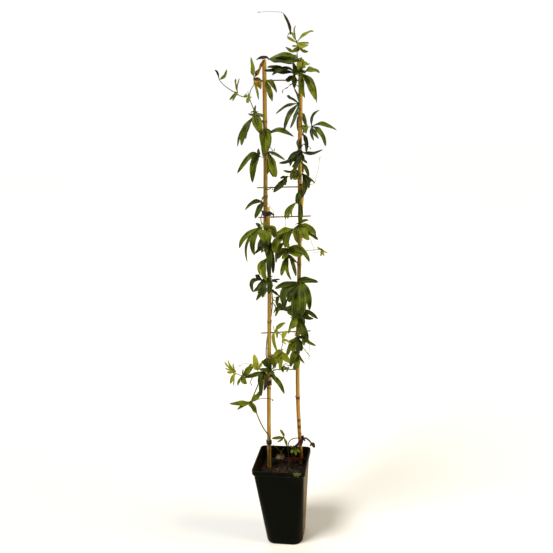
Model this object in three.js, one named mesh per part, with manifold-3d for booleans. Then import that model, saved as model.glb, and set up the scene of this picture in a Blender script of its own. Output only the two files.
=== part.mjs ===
// A passion flower vine in a deep square nursery pot, trained up a bamboo ladder trellis.
//
// Millimetres, +Z up. The origin is the centre of the pot's underside, X runs to the pot's right
// and -Y is its front. The trellis is two short bamboo ladders, tied one above the other.
//
// The trellis has its own frame: u runs across it, v goes behind it, w rises from the soil.
// Leaves are laid out as a visitor sees them against the trellis: (u, w) is the place on the
// trellis that a leaf covers, and v moves it along the visitor's line of sight.

import * as THREE from 'three';
import { mergeVertices } from 'three/addons/utils/BufferGeometryUtils.js';
import Module from 'manifold-3d';

const wasm = await Module();
wasm.setup();

// ---------------------------------------------------------------- driving dimensions

const GAP = 0.4;                        // clearance between pieces that touch

const POT_HEIGHT = 211;
const POT_TOP = 131;                    // outer width over the lip
const POT_BASE = 91;
const POT_WALL = 1.6;
const LIP_HEIGHT = 12;
const LIP_OVERHANG = 2.6;
const POT_CORNER_TOP = 9;
const POT_CORNER_BASE = 24;
const DRAIN_RADIUS = 5;
const DRAIN_OFFSET = 24;

const SOIL_TOP = 183;

const TRELLIS_FOOT = new THREE.Vector3(4.7, 19.3, SOIL_TOP);
const TRELLIS_TURN = THREE.MathUtils.degToRad(15.8);
const TRELLIS_LEAN = THREE.MathUtils.degToRad(2.6);
const VISITOR = new THREE.Vector3(264.4, -1335.1, 989);

const CANE_RADIUS = 5;
const UPPER_LADDER_DEPTH = 10.5;        // the upper ladder stands behind the lower one
const CANE_JOINT_SPACING = 168;
const CANE_SWELL = 0.35;
const RUNG_RADIUS = 1.6;
const TIE_THICKNESS = 1.4;
const TIE_CLEARANCE = 0.6;

const STEM_RADIUS = 1.5;
const SHOOT_RADIUS = 1.1;
const PETIOLE_RADIUS = 0.8;
const TENDRIL_RADIUS = 0.6;
const STEM_STEP = 17;
const TENDRIL_STEP = 16;
const SAMPLES = 20;                     // of a curve between two of its points
const BLADE_THICKNESS = 1.0;
const HUB_THICKNESS = 1.8;              // where the lobes of a leaf meet on its petiole
const SINUS_RADIUS = 2.2;
const LOBE_FOLD = 0.22;                 // how far the edges of a lobe rise above its rib
const SHORT_LOBE = 32;
const SHORT_PETIOLE = 40;
const STALKLESS = 1.6;                  // a leaf this near to the stem's middle sits on it
const LEAST_ANGLE = 0.42;               // between neighbouring lobes in one blade
const LAYER_STEP = 1.2;
const LADDER_CHANGE = 712;              // above this height only the upper ladder's canes stand
const ROOT_DEPTH = 1.5;                 // petioles leave a stem at least this far off the canes' plane
const TWINE_RADIUS = CANE_RADIUS + STEM_RADIUS + 0.9;

// Heights along the trellis (w) and places across it (u).
const CANES = {
  cane_lower_left: { depth: 0, firstJoint: 129, line: [[-42, -85], [-41, 60], [-39.4, 190], [-36, 340],
    [-33.6, 470], [-34, 600], [-34.6, 655]] },
  cane_lower_right: { depth: 0, firstJoint: 99, line: [[43.5, -85], [41, 0], [35.2, 107], [32.4, 190],
    [34, 369], [37.4, 492], [41, 620], [45, 680], [46.5, 706]] },
  cane_upper_left: { depth: UPPER_LADDER_DEPTH, firstJoint: 112, line: [[-39.8, 565], [-39, 640],
    [-36.8, 760], [-36.2, 890], [-35.8, 977]] },
  cane_upper_right: { depth: UPPER_LADDER_DEPTH, firstJoint: 112, line: [[42.4, 572], [42, 640],
    [42, 760], [44.2, 890], [44.6, 974]] },
};

const RUNGS = {
  rung_1: { depth: 0, w: 353, from: -56, to: 65 },
  rung_2: { depth: 0, w: 631.5, from: -57, to: 66 },
  rung_3: { depth: UPPER_LADDER_DEPTH, w: 698.5, from: -58, to: 65 },
  rung_4: { depth: UPPER_LADDER_DEPTH, w: 933.5, from: -53, to: 56 },
};

// ---------------------------------------------------------------- frames and curves

const across = new THREE.Vector3(Math.cos(TRELLIS_TURN), Math.sin(TRELLIS_TURN), 0);
const behind = new THREE.Vector3(-Math.sin(TRELLIS_TURN), Math.cos(TRELLIS_TURN), 0);
const U = across.clone().multiplyScalar(Math.cos(TRELLIS_LEAN)).setZ(-Math.sin(TRELLIS_LEAN));
const W = across.clone().multiplyScalar(Math.sin(TRELLIS_LEAN)).setZ(Math.cos(TRELLIS_LEAN));

function onTrellis(u, v, w) {
  return TRELLIS_FOOT.clone().addScaledVector(U, u).addScaledVector(behind, v).addScaledVector(W, w);
}

function seen([u, v, w]) {
  const place = onTrellis(u, 0, w);
  const sight = place.clone().sub(VISITOR);
  return place.addScaledVector(sight, v / sight.dot(behind));
}

function curveThrough(points) {
  const curve = new THREE.CatmullRomCurve3(points, false, 'centripetal');
  curve.arcLengthDivisions = SAMPLES * (points.length - 1);
  return curve;
}

// The fractions of a curve's length at which its points lie, with more of them in its long spans.
function ringFractions(curve, longest) {
  const lengths = curve.getLengths();
  const fractions = [0];
  for (let i = SAMPLES; i < lengths.length; i += SAMPLES) {
    const [from, to] = [lengths[i - SAMPLES], lengths[i]];
    const count = Math.ceil((to - from) / longest);
    for (let k = 1; k <= count; k += 1) fractions.push((from + (to - from) * k / count) / lengths.at(-1));
  }
  return fractions;
}

// Where a straight or slightly bowed cane's centre lies at height w.
function caneCentre(name, w) {
  const { line, depth } = CANES[name];
  const next = Math.min(Math.max(line.findIndex(([, height]) => height >= w), 1), line.length - 1);
  const [[u0, w0], [u1, w1]] = [line[next - 1], line[next]];
  return [u0 + (u1 - u0) * (w - w0) / (w1 - w0), depth];
}

// Points of a stem that winds round a cane through the given heights and angles.
// Angle 0 is on the cane's right, 90 behind it and -90 in front.
function wind(name, turns) {
  const points = [];
  turns.forEach(([w, angle], i) => {
    const [w0, angle0] = turns[Math.max(i - 1, 0)];
    const count = Math.max(1, Math.ceil(Math.abs(angle - angle0) / 45));
    for (let k = i === 0 ? count : 1; k <= count; k += 1) {
      const height = w0 + (w - w0) * k / count;
      const turn = THREE.MathUtils.degToRad(angle0 + (angle - angle0) * k / count);
      const [u, v] = caneCentre(name, height);
      points.push(onTrellis(u + TWINE_RADIUS * Math.cos(turn), v + TWINE_RADIUS * Math.sin(turn), height));
    }
  });
  return points;
}

// ---------------------------------------------------------------- solids

function solidFrom(geometry) {
  const bare = geometry.clone();
  bare.deleteAttribute('normal');
  bare.deleteAttribute('uv');
  const merged = mergeVertices(bare, 1e-4);
  return new wasm.Manifold(new wasm.Mesh({
    numProp: 3,
    vertProperties: new Float32Array(merged.attributes.position.array),
    triVerts: new Uint32Array(merged.index.array),
  }));
}

function geometryFrom(solid) {
  const mesh = solid.getMesh();
  const geometry = new THREE.BufferGeometry();
  geometry.setAttribute('position', new THREE.BufferAttribute(mesh.vertProperties, 3));
  geometry.setIndex(new THREE.BufferAttribute(mesh.triVerts, 1));
  geometry.computeVertexNormals();
  return geometry;
}

function indexed(vertices, triangles) {
  const geometry = new THREE.BufferGeometry();
  const coordinates = vertices.flatMap((p) => p.toArray());
  geometry.setAttribute('position', new THREE.Float32BufferAttribute(coordinates, 3));
  geometry.setIndex(triangles);
  return geometry;
}

// Joins rings of equal count into one closed skin, with a fan at each end.
function skin(rings) {
  const count = rings[0].length;
  const middle = (ring) => ring.reduce((sum, p) => sum.add(p), new THREE.Vector3()).divideScalar(count);
  const vertices = [...rings.flat(), middle(rings[0]), middle(rings.at(-1))];
  const first = rings.length * count;
  const top = (rings.length - 1) * count;
  const triangles = [];
  for (let i = 0; i < count; i += 1) {
    const j = (i + 1) % count;
    for (let r = 0; r < top; r += count) {
      triangles.push(r + i, r + j, r + count + j, r + i, r + count + j, r + count + i);
    }
    triangles.push(first, j, i, first + 1, top + i, top + j);
  }
  return indexed(vertices, triangles);
}

// A round bar along a curve. Each station is a fraction of the way and the bar's radius there.
// With a clearance it is the hole that the bar stands in.
function bar(curve, stations, sides, clearance = 0) {
  const normal = new THREE.Vector3(0.31, 0.87, 0.38);
  const rings = stations.map(([t, ownRadius]) => {
    const radius = ownRadius + clearance;
    const tangent = curve.getTangentAt(t);
    const end = t === 0 ? -clearance : 0;
    const centre = curve.getPointAt(t).addScaledVector(tangent, end);
    // Each ring keeps the last one's heading, so that the bar doesn't twist.
    normal.addScaledVector(tangent, -normal.dot(tangent)).normalize();
    const binormal = tangent.clone().cross(normal);
    return Array.from({ length: sides }, (_, k) => centre.clone()
      .addScaledVector(normal, radius * Math.cos(2 * Math.PI * k / sides))
      .addScaledVector(binormal, radius * Math.sin(2 * Math.PI * k / sides)));
  });
  return skin(rings);
}

// One level of a square body with round corners, as a ring of points.
function roundedSquare(half, corner, z, pointsPerCorner = 4) {
  const ring = [];
  [[1, 1], [-1, 1], [-1, -1], [1, -1]].forEach(([sx, sy], quarter) => {
    for (let k = 0; k < pointsPerCorner; k += 1) {
      const angle = (quarter + k / (pointsPerCorner - 1)) * Math.PI / 2;
      ring.push(new THREE.Vector3(
        sx * (half - corner) + corner * Math.cos(angle),
        sy * (half - corner) + corner * Math.sin(angle),
        z,
      ));
    }
  });
  return ring;
}

// ---------------------------------------------------------------- pot and soil

const LIP_BOTTOM = POT_HEIGHT - LIP_HEIGHT;
const WALL_TOP_HALF = POT_TOP / 2 - LIP_OVERHANG;

function wallHalf(z) {
  return POT_BASE / 2 + (WALL_TOP_HALF - POT_BASE / 2) * z / POT_HEIGHT;
}

function cornerAt(z) {
  return POT_CORNER_BASE + (POT_CORNER_TOP - POT_CORNER_BASE) * z / POT_HEIGHT;
}

function potGeometry() {
  const wall = (z, inset) => roundedSquare(wallHalf(z) - inset, cornerAt(z) - inset, z);
  const lip = (z) => roundedSquare(POT_TOP / 2, POT_CORNER_TOP + LIP_OVERHANG, z);
  const shell = solidFrom(skin([
    wall(0, 2), wall(2, 0), wall(LIP_BOTTOM, 0), lip(LIP_BOTTOM + 1.5), lip(POT_HEIGHT),
    wall(POT_HEIGHT, POT_WALL), wall(POT_WALL + 1, POT_WALL),
  ]));
  let pot = shell;
  [[1, 1], [-1, 1], [-1, -1], [1, -1]].forEach(([sx, sy]) => {
    const drain = new THREE.CylinderGeometry(DRAIN_RADIUS, DRAIN_RADIUS, 12, 12);
    drain.rotateX(Math.PI / 2).translate(sx * DRAIN_OFFSET, sy * DRAIN_OFFSET, 0);
    pot = pot.subtract(solidFrom(drain));
  });
  return geometryFrom(pot);
}

function soilLump(x, y) {
  return 2.2 * Math.sin(x / 9 + 1.3) * Math.cos(y / 11) + 1.2 * Math.sin((x + y) / 5.5);
}

function soilBody() {
  const inset = POT_WALL + GAP;
  const level = (z) => roundedSquare(wallHalf(z) - inset, cornerAt(z) - inset, z);
  const rings = [level(POT_WALL + 1 + GAP), level(60), level(120), level(SOIL_TOP - 3)];
  for (const share of [0.86, 0.66, 0.42, 0.18]) {
    const ring = roundedSquare((wallHalf(SOIL_TOP) - inset) * share, cornerAt(SOIL_TOP) * share, SOIL_TOP);
    ring.forEach((p) => p.setZ(SOIL_TOP + soilLump(p.x, p.y)));
    rings.push(ring);
  }
  return solidFrom(skin(rings));
}

// ---------------------------------------------------------------- trellis

// Bamboo swells a little at each joint of the cane.
function caneBar(name, clearance) {
  const { line, depth, firstJoint } = CANES[name];
  const curve = curveThrough(line.map(([u, w]) => onTrellis(u, depth, w)));
  const length = curve.getLength();
  const stations = [[0, 0]];
  for (let joint = firstJoint; joint < length - 20; joint += CANE_JOINT_SPACING) {
    stations.push([joint - 8, 0], [joint, CANE_SWELL], [joint + 5, 0]);
  }
  stations.push([length, 0]);
  const tapered = stations.map(([at, swell]) => [at / length, CANE_RADIUS + swell - 0.3 * at / length]);
  return bar(curve, tapered, 8, clearance);
}

function rungBar({ depth, w, from, to }, clearance) {
  const curve = new THREE.LineCurve3(onTrellis(from, depth, w), onTrellis(to, depth, w));
  return bar(curve, [[0, RUNG_RADIUS], [1, RUNG_RADIUS]], 6, clearance);
}

// Soft ties, each a flat band pulled round two rounds [u, v, radius].
const TIES = {
  tie_base_left: { w: 60, height: 13, round: [[-41, 0, CANE_RADIUS], [-41, -7, STEM_RADIUS]] },
  tie_low_left: { w: 218, height: 14, round: [[-38.8, 0, CANE_RADIUS], [-39.2, -4, 2.4]] },
  tie_left: { w: 634, height: 12, round: [[-34.4, 0, CANE_RADIUS], [-39, 10.5, CANE_RADIUS]] },
  tie_right: { w: 598, height: 12, round: [[41.2, 0, CANE_RADIUS], [42.2, 10.5, CANE_RADIUS]] },
};

function tieBand({ w, height, round: [a, b] }) {
  const distance = Math.hypot(b[0] - a[0], b[1] - a[1]);
  const heading = Math.atan2(b[1] - a[1], b[0] - a[0]);
  const spread = Math.acos((a[2] - b[2]) / distance);
  const outline = (clearance) => {
    const path = new THREE.Path();
    path.absarc(b[0], b[1], b[2] + clearance, heading - spread, heading + spread, false);
    path.absarc(a[0], a[1], a[2] + clearance, heading + spread, heading - spread + 2 * Math.PI, false);
    return path.getPoints(3);
  };
  const shape = new THREE.Shape(outline(TIE_CLEARANCE + TIE_THICKNESS));
  shape.holes.push(new THREE.Path(outline(TIE_CLEARANCE)));
  const band = new THREE.ExtrudeGeometry(shape, { depth: height, bevelEnabled: false, steps: 1 });
  return band.applyMatrix4(new THREE.Matrix4().makeBasis(U, behind, W).setPosition(onTrellis(0, 0, w)));
}

// ---------------------------------------------------------------- the plant

// A lobe's shape: each station is a fraction of its length and of its half width there.
const LONG_STATIONS = [[0.36, 0.88], [0.74, 0.86]];
const SHORT_STATIONS = [[0.55, 0.95]];

// The direction from the hub to a place, as an angle in the leaf's plane.
function bearing(hub, place, { right, up }) {
  const heading = place.clone().sub(hub);
  return Math.atan2(heading.dot(up), heading.dot(right));
}

// The turn from one bearing to the next, anticlockwise.
function turnTo(from, to) {
  const turn = (to - from + 4 * Math.PI) % (2 * Math.PI);
  return turn > 1e-6 ? turn : 2 * Math.PI;
}

// One lobe of a leaf, bent from the hub over via to the tip.
function lobeFrom(hub, { via, tip, width }, plane) {
  const bend = via.clone().multiplyScalar(2).sub(hub.clone().add(tip).multiplyScalar(0.5));
  const curve = new THREE.QuadraticBezierCurve3(hub, bend, tip);
  const stations = tip.distanceTo(hub) < SHORT_LOBE ? SHORT_STATIONS : LONG_STATIONS;
  const angle = bearing(hub, curve.getPoint(stations[0][0]), plane);
  return { curve, stations, tip, half: width / 2, angle };
}

// Shares the lobes out, so that no two of a layer lie on one another.
function layersOf(lobes) {
  const layers = [];
  for (const one of lobes) {
    const clear = ({ angle }) => Math.min(turnTo(one.angle, angle), turnTo(angle, one.angle)) > LEAST_ANGLE;
    const layer = layers.find((others) => others.every(clear));
    if (layer) layer.push(one);
    else layers.push([one]);
  }
  return layers.map((layer) => layer.sort((a, b) => a.angle - b.angle));
}

// A thin blade: lobes round a hub, each folded a little along its rib.
function bladeSolid(hub, lobes, plane) {
  const vertices = [];
  const triangles = [];
  // A point has its number on the upper face and its number on the lower one.
  const edgePoint = (place) => Array(2).fill(vertices.push(place) - 1);
  const ribPoint = (place, up, thickness) => [thickness / 2, -thickness / 2]
    .map((height) => vertices.push(place.clone().addScaledVector(up, height)) - 1);
  const facet = (a, b, c) => triangles.push(a[0], b[0], c[0], c[1], b[1], a[1]);
  const flat = (place) => place.clone().projectOnPlane(plane.face);

  // Each lobe has rows of three points: one edge, the rib and the other edge.
  const rowsOf = lobes.map((lobe) => {
    const others = [hub, ...lobes.filter((other) => other !== lobe)
      .flatMap((other) => other.curve.getPoints(8))].map(flat);
    return lobe.stations.map(([t, share]) => {
      const place = lobe.curve.getPoint(t);
      const tangent = lobe.curve.getTangent(t);
      const side = tangent.clone().cross(plane.face).normalize();
      const up = side.clone().cross(tangent).normalize();
      const room = Math.min(...others.map((other) => other.distanceTo(flat(place)))) * 0.48;
      const reach = Math.min(lobe.half * share, room);
      const edge = place.clone().addScaledVector(up, LOBE_FOLD * reach);
      return [
        edgePoint(edge.clone().addScaledVector(side, reach)),
        ribPoint(place, up, BLADE_THICKNESS),
        edgePoint(edge.addScaledVector(side, -reach)),
      ];
    });
  });
  const sinuses = rowsOf.map((rows, i) => {
    const nextRows = rowsOf[(i + 1) % rowsOf.length];
    const from = bearing(hub, vertices[rows[0][2][0]], plane);
    const middle = from + turnTo(from, bearing(hub, vertices[nextRows[0][0][0]], plane)) / 2;
    return edgePoint(hub.clone().addScaledVector(plane.right, SINUS_RADIUS * Math.cos(middle))
      .addScaledVector(plane.up, SINUS_RADIUS * Math.sin(middle)));
  });
  const centre = ribPoint(hub, plane.face, HUB_THICKNESS);
  lobes.forEach(({ tip }, i) => {
    const rows = rowsOf[i];
    const [low, rib, high] = rows[0];
    facet(centre, sinuses.at(i - 1), low);
    facet(centre, low, rib);
    facet(centre, rib, high);
    facet(centre, high, sinuses[i]);
    if (rows.length > 1) {
      const [nextLow, nextRib, nextHigh] = rows[1];
      facet(low, nextLow, nextRib);
      facet(low, nextRib, rib);
      facet(rib, nextRib, nextHigh);
      facet(rib, nextHigh, high);
    }
    const [lastLow, lastRib, lastHigh] = rows.at(-1);
    const end = edgePoint(tip);
    facet(lastLow, end, lastRib);
    facet(lastRib, end, lastHigh);
  });
  return solidFrom(indexed(vertices, triangles));
}

// The nearest node of the stems that lies on the given side of the canes.
function nearestNode(nodes, place, side) {
  const clear = nodes.filter((node) => {
    const offset = node.clone().sub(TRELLIS_FOOT);
    const caneDepth = offset.dot(W) > LADDER_CHANGE ? UPPER_LADDER_DEPTH : 0;
    return side * (offset.dot(behind) - caneDepth) > ROOT_DEPTH;
  });
  return clear.reduce((a, b) => (b.distanceTo(place) < a.distanceTo(place) ? b : a));
}

// Leaves in front of the trellis face the visitor and the sky, those behind face away from it.
function leafSolids([hub, lobes], nodes) {
  const hubPlace = seen(hub);
  const side = Math.sign(hub[1]);
  const heading = lobes.reduce((sum, lobe) => sum.add(seen(lobe).sub(hubPlace)), new THREE.Vector3())
    .normalize();
  const face = behind.clone().multiplyScalar(0.8 * side).setZ(0.6);
  face.addScaledVector(heading, -0.8 * face.dot(heading)).normalize();
  const right = U.clone().projectOnPlane(face).normalize();
  const plane = { face, right, up: face.clone().cross(right) };

  const root = nearestNode(nodes, hubPlace, side);
  const rise = hubPlace.clone().lerp(root, 0.5).addScaledVector(face, 2);
  const petiole = new THREE.QuadraticBezierCurve3(root, rise, hubPlace);

  // The outermost lobes are the upper layer's.
  const outermostFirst = [...lobes].sort((a, b) => side * (b[1] - a[1]));
  const lobeList = outermostFirst.map(([u, v, w, width, viaU, viaW]) => {
    const length = Math.hypot(u - hub[0], v - hub[1], w - hub[2]);
    const via = seen([viaU ?? (u + hub[0]) / 2, (v + hub[1]) / 2 + side * 0.1 * length,
      viaW ?? (w + hub[2]) / 2 + 0.1 * length]);
    return lobeFrom(hubPlace, { via, tip: seen([u, v, w]), width }, plane);
  });
  const blades = layersOf(lobeList).map((layer, k) => bladeSolid(hubPlace, layer, plane)
    .translate(face.clone().multiplyScalar(-LAYER_STEP * k).toArray()));
  if (root.distanceTo(hubPlace) < STALKLESS) return blades;
  const stations = [[0, PETIOLE_RADIUS], [0.6, PETIOLE_RADIUS], [1, PETIOLE_RADIUS / 2]];
  if (petiole.getLength() < SHORT_PETIOLE) stations.splice(1, 1);
  return [solidFrom(bar(petiole, stations, 3)), ...blades];
}

const STEM_PLANS = {
  left_stem: {
    shoots: [
      { radius: STEM_RADIUS, path: [
        ...[[-41.4, -7, -14], [-41.2, -7, 30], [-41, -7, 58], [-41, -7, 82]]
          .map((p) => onTrellis(...p)),
        ...[[-46, -5.5, 91], [-53, -4, 102], [-60, -4, 117], [-69, -5, 141], [-77, -7, 165], [-82, -8, 180],
          [-76, -8, 196], [-68, -8, 215], [-60, -9, 235], [-50, -9, 250]].map(seen),
        ...wind('cane_lower_left', [[266, 225], [300, 180], [385, 60], [430, 0], [478, -80], [600, -100]]),
        ...[[-42, -6.5, 611], [-49, 1, 619], [-50, 9, 628], [-46, 16.5, 640], [-50, 10, 655],
          [-48.5, 1, 668], [-44, -6, 680], [-40, -8, 697], [-41, -4.5, 716]].map((p) => onTrellis(...p)),
        ...wind('cane_upper_left', [[735, -100], [775, -80], [792, 0], [801, 90], [812, 180], [828, 262],
          [845, 215]]),
        ...[[-52, 0, 855], [-60, -4, 868], [-69, -6, 890], [-71, -7, 901]].map(seen),
      ] },
      { radius: SHOOT_RADIUS, path: [[-67, -7, 913], [-60, -6, 924], [-56, -6, 930]].map(seen) },
      { radius: SHOOT_RADIUS, path: [[-80, -7, 898], [-90, -8, 900], [-100, -9, 906],
        [-115, -10, 915], [-130, -12, 927], [-136, -12, 936], [-138, -12, 946]].map(seen) },
      { radius: SHOOT_RADIUS, path: [[-66, -11, 247], [-85, -13, 245], [-100, -14, 247],
        [-113, -15, 250], [-124, -16, 258]].map(seen) },
    ],
    leaves: [
      [[-84, -10, 176], [[-136, -20, 176, 13.5, -107, 174], [-118, -26, 158, 7.5, -104, 168],
        [-69, -22, 145, 17, -82, 165], [-62, -22, 204, 13, -69, 191]]],
      [[-50, -16, 255], [[-58, -30, 191, 11, -58, 217], [-52, -34, 204, 10.5, -45, 232],
        [-63, -22, 221, 9.5, -60, 241], [-101, -18, 242, 10.5, -74, 247]]],
      [[-36, -12, 244], [[-1, -26, 193, 12, -17, 227], [-22, -30, 226, 6.5, -26, 242]]],
      [[-65, -14, 259], [[-73, -20, 300, 13, -71, 282], [-56, -26, 279, 7.5, -59, 272],
        [-81, -8, 274, 9.5, -71, 266]]],
      [[-33, -15, 258], [[-56, -24, 280, 12.5, -47, 275], [-63, -22, 262, 12, -41, 257],
        [-40, -38, 297, 12, -27, 274], [-50, -32, 283, 11, -38, 281], [-34, -30, 245, 11, -30, 253]]],
      [[-103, -15, 248], [[-115, -24, 220, 7.5, -111, 233], [-93, -28, 225, 14, -100, 235],
        [-82, -20, 278, 14, -89, 262], [-100, -28, 262, 7.5, -101, 257],
        [-77, -27, 270, 12, -89, 254]]],
      [[-119, -17, 260], [[-135, -24, 289, 5.5, -132, 273], [-123, -28, 279, 5, -125, 270],
        [-144, -14, 286, 5.5, -136, 272], [-145, -26, 269, 4.5, -134, 263],
        [-140, -20, 259, 6.5, -132, 257], [-132, -24, 228, 8, -129, 239],
        [-125, -28, 221, 5, -124, 246]]],
      [[-40, -12, 534], [[-54, -26, 495, 7, -57, 518], [-40, -30, 482, 13.5, -48, 506]]],
      [[-51, -14, 483], [[-72, -28, 454, 10, -74, 480], [-64, -22, 498, 11.5, -61, 492],
        [-72, -34, 456, 11, -57, 468], [-66, -36, 434, 13, -48, 465], [-36, -30, 448, 15, -34, 477]]],
      [[-27, -11, 484], [[-7, -16, 484, 4.5, -18, 483], [-13, -22, 477, 7, -22, 480]]],
      [[-27, -13, 570], [[-68, -26, 546, 11.5, -41, 567], [-47, -32, 551, 7.5, -37, 560],
        [-33, -28, 486, 13.5, -33, 533], [-25, -24, 499, 8.5, -24, 524]]],
      [[-51, -15, 608], [[-102, -24, 561, 11.5, -85, 590], [-84, -30, 527, 6.5, -83, 575],
        [-67, -34, 543, 13.5, -70, 579], [-39, -32, 572, 15, -49, 591],
        [-63, -16, 619, 8.5, -56, 613]]],
      [[-43, -15, 607], [[-20, -20, 583, 16.5, -25, 602], [-35, -34, 567, 14.5, -34, 589],
        [-46, -26, 621, 11.5, -42, 615]]],
      [[-44, -10, 665], [[-87, -22, 649, 10, -64, 667], [-64, -28, 629, 13, -54, 651]]],
      [[-51, -10, 770], [[-53, -14, 787, 7, -53, 777], [-102, -24, 732, 13.5, -73, 768],
        [-68, -30, 711, 16.5, -64, 753]]],
      [[-32, -12, 779], [[7, -18, 760, 8, -17, 774], [-15, -28, 722, 17.5, -22, 746],
        [-34, -24, 729, 9, -30, 754]]],
      [[-35, -12, 829], [[-42, -20, 767, 9.5, -42, 801], [-28, -26, 788, 9, -28, 814],
        [-38, -32, 777, 11, -33, 793]]],
      [[-30, -12, 818], [[27, -20, 811, 13, -4, 825]]],
      [[-65, -14, 852], [[-100, -24, 792, 6.5, -89, 827], [-91, -30, 794, 14.5, -82, 828],
        [-81, -36, 807, 8.5, -77, 834]]],
      [[-60, -10, 865], [[-57, -14, 882, 6, -60, 869], [-74, -16, 863, 8, -66, 859],
        [-45, -28, 817, 20, -55, 842], [-36, -22, 854, 9, -49, 859]]],
      [[-70, -8, 903], [[-76, -12, 906, 6.5, -80, 898], [-75, -14, 885, 8, -74, 890]]],
      [[-96, -10, 907], [[-99, -16, 937, 7, -100, 924], [-91, -20, 937, 4, -96, 925],
        [-114, -18, 892, 6, -105, 901], [-108, -22, 889, 7.5, -102, 904]]],
      [[-136, -12, 935], [[-119, -18, 956, 6.5, -124, 942], [-145, -16, 954, 4.5, -139, 949]]],
      [[-61, -8, 936], [[-66, -12, 982, 11, -61, 952], [-50, -24, 891, 6, -54, 914],
        [-45, -26, 914, 14.5, -50, 929], [-35, -23, 977, 15, -48, 952]]],
      [[-34, -8, 929], [[-10, -14, 906, 11, -22, 927], [-20, -20, 888, 13, -28, 913]]],
      [[-30, 19, 296], [[-44, 34, 268, 10], [-22, 38, 262, 11], [-12, 30, 290, 9]]],
      [[-40, 19, 464], [[-62, 30, 452, 10], [-50, 42, 440, 12], [-32, 38, 444, 10], [-24, 26, 468, 8]]],
      [[-46, 22, 586], [[-60, 36, 556, 8], [-50, 42, 548, 10], [-34, 44, 522, 11], [-24, 28, 556, 9]]],
      [[-38, 24, 752], [[-12, 38, 738, 9], [-20, 46, 722, 10], [-37, 44, 712, 9]]],
      [[-46, 25, 828], [[-60, 36, 842, 8], [-45, 46, 788, 10], [-36, 42, 784, 9], [-22, 30, 820, 8]]],
    ],
    tendrils: [
      [[-84, -14, 262], [-84, -15, 274], [-95, -17, 278], [-107, -19, 274]],
      [[-74, -8, 183], [-66, -8, 183], [-54, -7, 184], [-46, -6, 184], [-39, -9, 183], [-33, -6, 181],
        [-31, 1, 180]],
      [[-42, -14, 466], [-42, -18, 452], [-45, -20, 443], [-50, -18, 444]],
      [[-30, -8, 657], [-24, -10, 650], [-20.5, -12, 640], [-22, -13, 629], [-26, -12, 633]],
      [[-28, -9, 471], [-16, -11, 465], [-6, -13, 456]],
    ],
  },
  right_stem: {
    shoots: [
      { radius: STEM_RADIUS, path: [
        ...[[-40.5, 9.5, -14], [-40, 9.5, 60], [-39.5, 9.5, 150], [-38.5, 9.5, 225], [-36, 9, 244],
          [-28, 2, 255], [-18, -6, 258], [-8, -8, 257.5], [8, -9, 257], [22, -9, 257]].map(seen),
        ...wind('cane_lower_right', [[268, 235], [300, 280], [345, 255], [392, 265], [412, 360], [426, 450],
          [440, 540], [460, 620], [500, 640], [550, 620], [572, 615]]),
        ...[[37.6, -8.8, 594], [38.2, -8.8, 616], [39, -8.6, 640], [40, -8.6, 664], [39, -8, 690],
          [37, -3, 715]].map((p) => onTrellis(...p)),
        ...wind('cane_upper_right', [[735, 250], [782, 255], [798, 180], [808, 90], [820, 0], [836, -70],
          [860, -105], [890, -115], [946, -80]]),
        ...[[38, -1, 968], [36, -3, 985], [36, -4, 1000], [36, -4, 1012], [29, -4, 1021],
          [23, -4, 1032]].map(seen),
      ] },
      { radius: SHOOT_RADIUS, path: [[-9, -9, 276], [-9, -10, 300], [-5, -10, 318],
        [-1, -10, 335], [-6, -10, 346], [-14, -10, 351], [-22, -9.5, 355], [-26, -9, 370]].map(seen) },
      { radius: SHOOT_RADIUS, path: [[28, -8, 376], [22, -10, 386], [15, -12, 400], [5, -12, 409],
        [-7, -12, 412], [-17, -12, 414], [-25, -11, 426], [-27, -10, 438]].map(seen) },
      { radius: SHOOT_RADIUS, path: [[30, -12, 600], [20, -14, 592], [14, -14, 575],
        [12, -13, 555], [12, -12, 538]].map(seen) },
    ],
    leaves: [
      [[35, -4, 1011], [[34, -4, 1046, 4.5, 30, 1033], [73, -14, 1034, 7.5, 55, 1029],
        [15, -12, 1024, 6.5, 21, 1018], [62, -16, 1010, 5, 55, 1010], [61, -22, 1006, 11, 47, 1004]]],
      [[43, -5, 1006], [[61, -18, 993, 12, 47, 993], [10, -16, 1003, 13, 29, 993],
        [26, -24, 1005, 7.5, 29, 1002]]],
      [[22, -4, 1027], [[6, -3, 1070, 7, 17, 1050]]],
      [[-27, -14, 976], [[40, -24, 977, 12, 7, 985], [44, -32, 973, 18, 13, 975],
        [-55, -8, 975, 9, -36, 980], [26, -34, 967, 11, -6, 972]]],
      [[31, -14, 948], [[-30, -22, 962, 13, -10, 959], [-37, -28, 954, 13.5, -10, 952],
        [-20, -34, 943, 11, 7, 957], [54, -30, 947, 18.5, 42, 950]]],
      [[49, -7, 976], [[65, -14, 967, 7.5, 55, 967], [46, -6, 981, 6.5, 44, 976],
        [55, -20, 962, 11.5, 48, 960], [40, -20, 952, 10.5, 40, 965]]],
      [[51, -9, 948], [[86, -18, 948, 13, 67, 954]]],
      [[49, -10, 945], [[79, -26, 884, 8, 70, 927], [76, -34, 891, 14, 64, 920],
        [52, -24, 895, 13, 44, 927]]],
      [[30, -10, 943], [[29, -18, 915, 11.5, 29, 931], [12, -16, 930, 12, 17, 934],
        [26, -14, 972, 13.5, 31, 950]]],
      [[39, -10, 883], [[12, -22, 900, 10, 21, 895], [-13, -28, 861, 7.5, 13, 878],
        [6, -34, 826, 10.5, 17, 859], [19, -38, 830, 7, 29, 851], [28, -32, 917, 7.5, 35, 900]]],
      [[68, -8, 833], [[86, -16, 869, 7, 70, 855], [125, -24, 824, 11.5, 94, 837],
        [73, -26, 802, 6.5, 67, 819], [83, -32, 806, 8.5, 75, 818], [100, -36, 789, 11.5, 88, 819]]],
      [[54, -8, 834], [[57, -16, 836, 9.5, 55, 836], [54, -20, 818, 13.5, 53, 831]]],
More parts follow.
